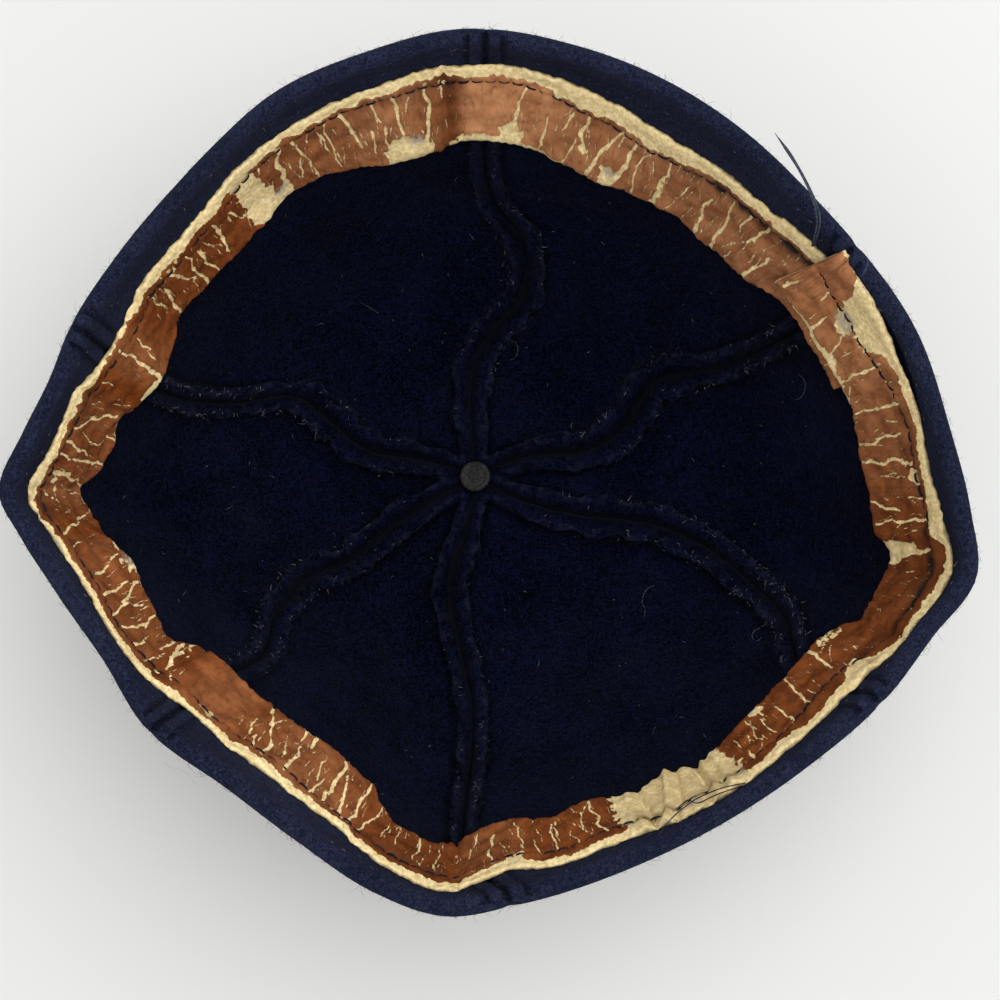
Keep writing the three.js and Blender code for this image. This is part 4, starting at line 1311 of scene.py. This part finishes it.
class Nodes:
    """A material's node tree, with short calls for the nodes that are used here."""

    def __init__(self, name):
        self.material = bpy.data.materials.new(name)
        self.material.use_nodes = True
        self.tree = self.material.node_tree
        self.shader = self.tree.nodes["Principled BSDF"]

    def link(self, source, target):
        self.tree.links.new(source, target)

    def put(self, socket, value):
        if isinstance(value, bpy.types.NodeSocket):
            self.link(value, socket)
        else:
            socket.default_value = value

    def surface(self, values):
        """Sets or connects the shader's inputs by name."""
        for name, value in values.items():
            self.put(self.shader.inputs[name], value)
        return self.material

    def place(self, scale=(1, 1, 1), source=None):
        """Object coordinates in metres, or another vector, times a scale."""
        node = self.tree.nodes.new("ShaderNodeMapping")
        self.link(source or self.tree.nodes.new("ShaderNodeTexCoord").outputs["Object"], node.inputs[0])
        node.inputs["Scale"].default_value = scale
        return node.outputs[0]

    def attribute(self, name, output="Fac"):
        node = self.tree.nodes.new("ShaderNodeAttribute")
        node.attribute_name = name
        return node.outputs[output]

    def noise(self, vector, scale, detail=3, roughness=0.5, distortion=0):
        node = self.tree.nodes.new("ShaderNodeTexNoise")
        self.link(vector, node.inputs["Vector"])
        node.inputs["Scale"].default_value = scale
        node.inputs["Detail"].default_value = detail
        node.inputs["Roughness"].default_value = roughness
        node.inputs["Distortion"].default_value = distortion
        return node.outputs[0]

    def math(self, operation, first, second):
        node = self.tree.nodes.new("ShaderNodeMath")
        node.operation = operation
        self.put(node.inputs[0], first)
        self.put(node.inputs[1], second)
        return node.outputs[0]

    def times(self, first, second):
        return self.math("MULTIPLY", first, second)

    def plus(self, first, second):
        return self.math("ADD", first, second)

    def ramp(self, value, low, high, start=0.0, end=1.0):
        """A smooth step of a value from one level to another."""
        node = self.tree.nodes.new("ShaderNodeMapRange")
        node.interpolation_type = "SMOOTHSTEP"
        self.put(node.inputs[0], value)
        for socket, level in zip(node.inputs[1:5], (low, high, start, end)):
            socket.default_value = level
        return node.outputs[0]

    def mix(self, share, first, second):
        node = self.tree.nodes.new("ShaderNodeMix")
        node.data_type = "RGBA"
        self.put(node.inputs[0], share)
        self.put(node.inputs[6], first)
        self.put(node.inputs[7], second)
        return node.outputs[2]

    def pair(self, share, colours):
        """A mix of the two colours of a pair."""
        return self.mix(share, srgb(*colours[0]), srgb(*colours[1]))

    def bump(self, height, distance, strength):
        node = self.tree.nodes.new("ShaderNodeBump")
        self.link(height, node.inputs["Height"])
        node.inputs["Distance"].default_value = distance
        node.inputs["Strength"].default_value = strength
        return node.outputs[0]


def felt_material(name):
    """Fulled wool: mottled, matt, with a fine nap of fibres and paler fuzz at raw edges. Painted light makes
    it paler near the rim, and painted shade darkens the seams' grooves and the felt beside the raw edges.
    """
    nodes = Nodes(name)
    place = nodes.place()
    mottled = nodes.noise(place, scale=60, detail=4, roughness=0.6)
    nap_look = {"detail": 4, "roughness": 0.8, "distortion": 1.2}
    fibres = nodes.noise(nodes.place((1, 0.45, 1)), scale=1700, **nap_look)
    crossed = nodes.noise(nodes.place((0.45, 1, 1)), scale=2100, **nap_look)
    nap = nodes.times(fibres, crossed)
    share = nodes.plus(nodes.times(mottled, 0.3), nodes.times(nap, 2.4))
    share = nodes.ramp(share, low=0.62, high=0.98)
    clean = nodes.pair(share, FELT_COLOURS)
    # Painted light: paler felt near the rim
    colour = nodes.mix(nodes.attribute("rim_light"), clean, nodes.pair(share, LIT_RIM_AND_FUZZ_FELT))

    seam = nodes.attribute("seam")
    raw = nodes.times(nodes.ramp(seam, low=1.2, high=2.6), nodes.ramp(seam, 3.3, 3.9, start=1, end=0))
    fluff = nodes.noise(place, scale=420, detail=4, roughness=0.7)
    raw = nodes.times(raw, nodes.ramp(fluff, low=0.45, high=0.62))
    colour = nodes.mix(nodes.times(raw, 0.25), colour, srgb(*LIT_RIM_AND_FUZZ_FELT[1]))
    # Painted shade: the seams' grooves and the felt just beside the allowances' raw edges are darkened
    # towards the darkest felt colour
    groove = nodes.ramp(seam, 0.3, 1.5, start=0.8, end=0)
    beside = nodes.times(nodes.ramp(seam, low=3.3, high=3.7), nodes.ramp(seam, 3.8, 6.0, start=0.7, end=0))
    colour = nodes.mix(nodes.plus(groove, beside), colour, srgb(*FELT_COLOURS[0]))
    return nodes.surface({
        "Base Color": colour,
        "Roughness": 1,
        "Specular IOR Level": 0.02,
        "Sheen Weight": 0.03,
        "Sheen Roughness": 0.35,
        "Sheen Tint": SHEEN_TINT,
        "Normal": nodes.bump(nap, distance=0.0009, strength=1.0),
    })


def leather_material():
    """Brown skin over a cream core, which shows where the skin is split or worn off."""
    nodes = Nodes("cracked_leather")
    flat = nodes.attribute("place", "Vector")
    grain = nodes.noise(nodes.place(), scale=2600, detail=3, roughness=0.6)
    fine = nodes.noise(nodes.place(), scale=900, detail=4, roughness=0.7)
    cloudy = nodes.noise(nodes.place((MM, MM, MM), flat), scale=180, detail=4, roughness=0.6)
    stretched = nodes.place((3 * MM, 0.7 * MM, MM), flat)
    creases = nodes.noise(stretched, scale=330, detail=4, roughness=0.6, distortion=0.6)
    dirt = nodes.attribute("dark")

    clouds = nodes.ramp(cloudy, low=0.3, high=0.7)
    # Painted highlight, in part: the pale skin mixed in here is partly real bloom and partly the light's
    # sheen painted on
    brown = nodes.mix(nodes.attribute("haze_and_highlight"), nodes.pair(clouds, SKIN), nodes.pair(clouds, HAZY_AND_HIGHLIT_SKIN))
    brown = nodes.mix(nodes.times(dirt, 0.75), brown, srgb(*DIRTY_SKIN))
    brown = nodes.mix(nodes.ramp(creases, 0.56, 0.66, start=0, end=0.35), brown, srgb(*CREASES))
    cream = nodes.pair(nodes.ramp(fine, low=0.3, high=0.75), CORE)
    cream = nodes.mix(nodes.times(dirt, 0.6), cream, srgb(*DIRTY_CORE))

    wander = nodes.times(nodes.math("SUBTRACT", fine, 0.5), 0.22)
    bare = nodes.ramp(nodes.plus(nodes.attribute("bare"), wander), low=-0.06, high=0.05)
    spots = nodes.times(nodes.attribute("spot"), nodes.ramp(fine, low=0.3, high=0.55))
    grey = nodes.pair(nodes.ramp(fine, low=0.35, high=0.7), GREY_SPOTS)
    height = nodes.plus(nodes.times(grain, 0.25), nodes.ramp(creases, 0.5, 0.66, start=0.6, end=0))
    height = nodes.plus(height, nodes.times(nodes.times(fine, bare), 1.2))
    return nodes.surface({
        "Base Color": nodes.mix(spots, nodes.mix(bare, brown, cream), grey),
        "Roughness": nodes.plus(nodes.times(bare, 0.4), 0.5),
        "Specular IOR Level": 0.16,
        "Normal": nodes.bump(height, distance=0.00015, strength=0.8),
    })


def plain_material(name, colours, roughness):
    nodes = Nodes(name)
    speckle = nodes.noise(nodes.place(), scale=1500, detail=3)
    return nodes.surface({
        "Base Color": nodes.pair(nodes.ramp(speckle, low=0.3, high=0.7), colours),
        "Roughness": roughness,
        "Specular IOR Level": 0.15,
        "Normal": nodes.bump(speckle, distance=0.0001, strength=0.5),
    })


# Stage

FLOOR_REACH = 2000
FLOOR_COLOUR = (0.575, 0.58, 0.58, 1)
FLOOR_ROUGHNESS = 0.7
ROOM_COLOUR = (1, 0.99, 0.97, 1)
ROOM_LIGHT = 1.13

# The soft box's place and size are in metres
SOFT_BOX_PLACE = np.array([0.45, 0.3, 1.3])
SOFT_BOX_SIZE = 1.6
SOFT_BOX_POWER = 13


def camera():
    data = bpy.data.cameras.new("camera")
    data.lens = CAMERA_LENS
    data.sensor_width = SENSOR
    piece = bpy.data.objects.new("camera", data)
    tilt = CAMERA_TILT * DEGREE
    forward = np.array([0, math.sin(tilt), -math.cos(tilt)])
    piece.location = (CAMERA_TARGET - CAMERA_DISTANCE * forward) * MM
    piece.rotation_euler = (tilt, 0, 0)
    bpy.context.scene.collection.objects.link(piece)
    bpy.context.scene.camera = piece


def floor():
    corners = np.array([[-1, -1, 0], [1, -1, 0], [1, 1, 0], [-1, 1, 0]]) * FLOOR_REACH
    nodes = Nodes("pale_floor")
    material = nodes.surface({"Base Color": FLOOR_COLOUR, "Roughness": FLOOR_ROUGHNESS})
    piece = mesh_piece("floor", corners, [np.array([[0, 1, 2, 3]])], material)


def soft_box():
    """A round light that looks at the frame's origin."""
    data = bpy.data.lights.new("soft_box", "AREA")
    data.shape = "DISK"
    data.size = SOFT_BOX_SIZE
    data.energy = SOFT_BOX_POWER
    piece = bpy.data.objects.new("soft_box", data)
    piece.location = SOFT_BOX_PLACE
    x, y, height = SOFT_BOX_PLACE
    piece.rotation_euler = (math.atan2(math.hypot(x, y), height), 0, math.atan2(-y, -x) - math.pi / 2)
    bpy.context.scene.collection.objects.link(piece)


def room():
    world = bpy.data.worlds.new("pale_room")
    world.use_nodes = True
    background = world.node_tree.nodes["Background"]
    background.inputs["Color"].default_value = ROOM_COLOUR
    background.inputs["Strength"].default_value = ROOM_LIGHT
    bpy.context.scene.world = world
    bpy.context.scene.view_settings.view_transform = "Standard"


camera()
floor()
room()
soft_box()
felt = felt_material("navy_felt")
for index in range(len(SEAMS)):
    felt_panel(index, felt)
sweatband(leather_material())
thread = plain_material("navy_thread", NAVY_THREAD, roughness=0.8)
sweatband_stitches(thread)
loose = plain_material("loose_thread", LOOSE_THREAD, roughness=0.8)
thread_ends("loose_thread", THREAD_ENDS, LOOSE_RADIUS, loose)
thread_ends("tangled_thread", TANGLED_ENDS, TANGLED_RADIUS, thread)
wool = plain_material("wool_fibre", WOOL, roughness=0.9)
outer_nap(wool)
inner_nap(wool)
pale_wool = plain_material("pale_lint", PALE_WOOL, roughness=0.9)
lint(pale_wool)
long_hairs(pale_wool)
button_felt = felt_material("button_felt")
turned("felt_button", BUTTON_PROFILE, BUTTON_DENTS, button_felt, "crown_button")
metal = plain_material("tarnished_metal", TARNISHED_METAL, roughness=0.6)
turned("rivet_disc", RIVET_PROFILE, RIVET_DENTS, metal, "button_rivet")
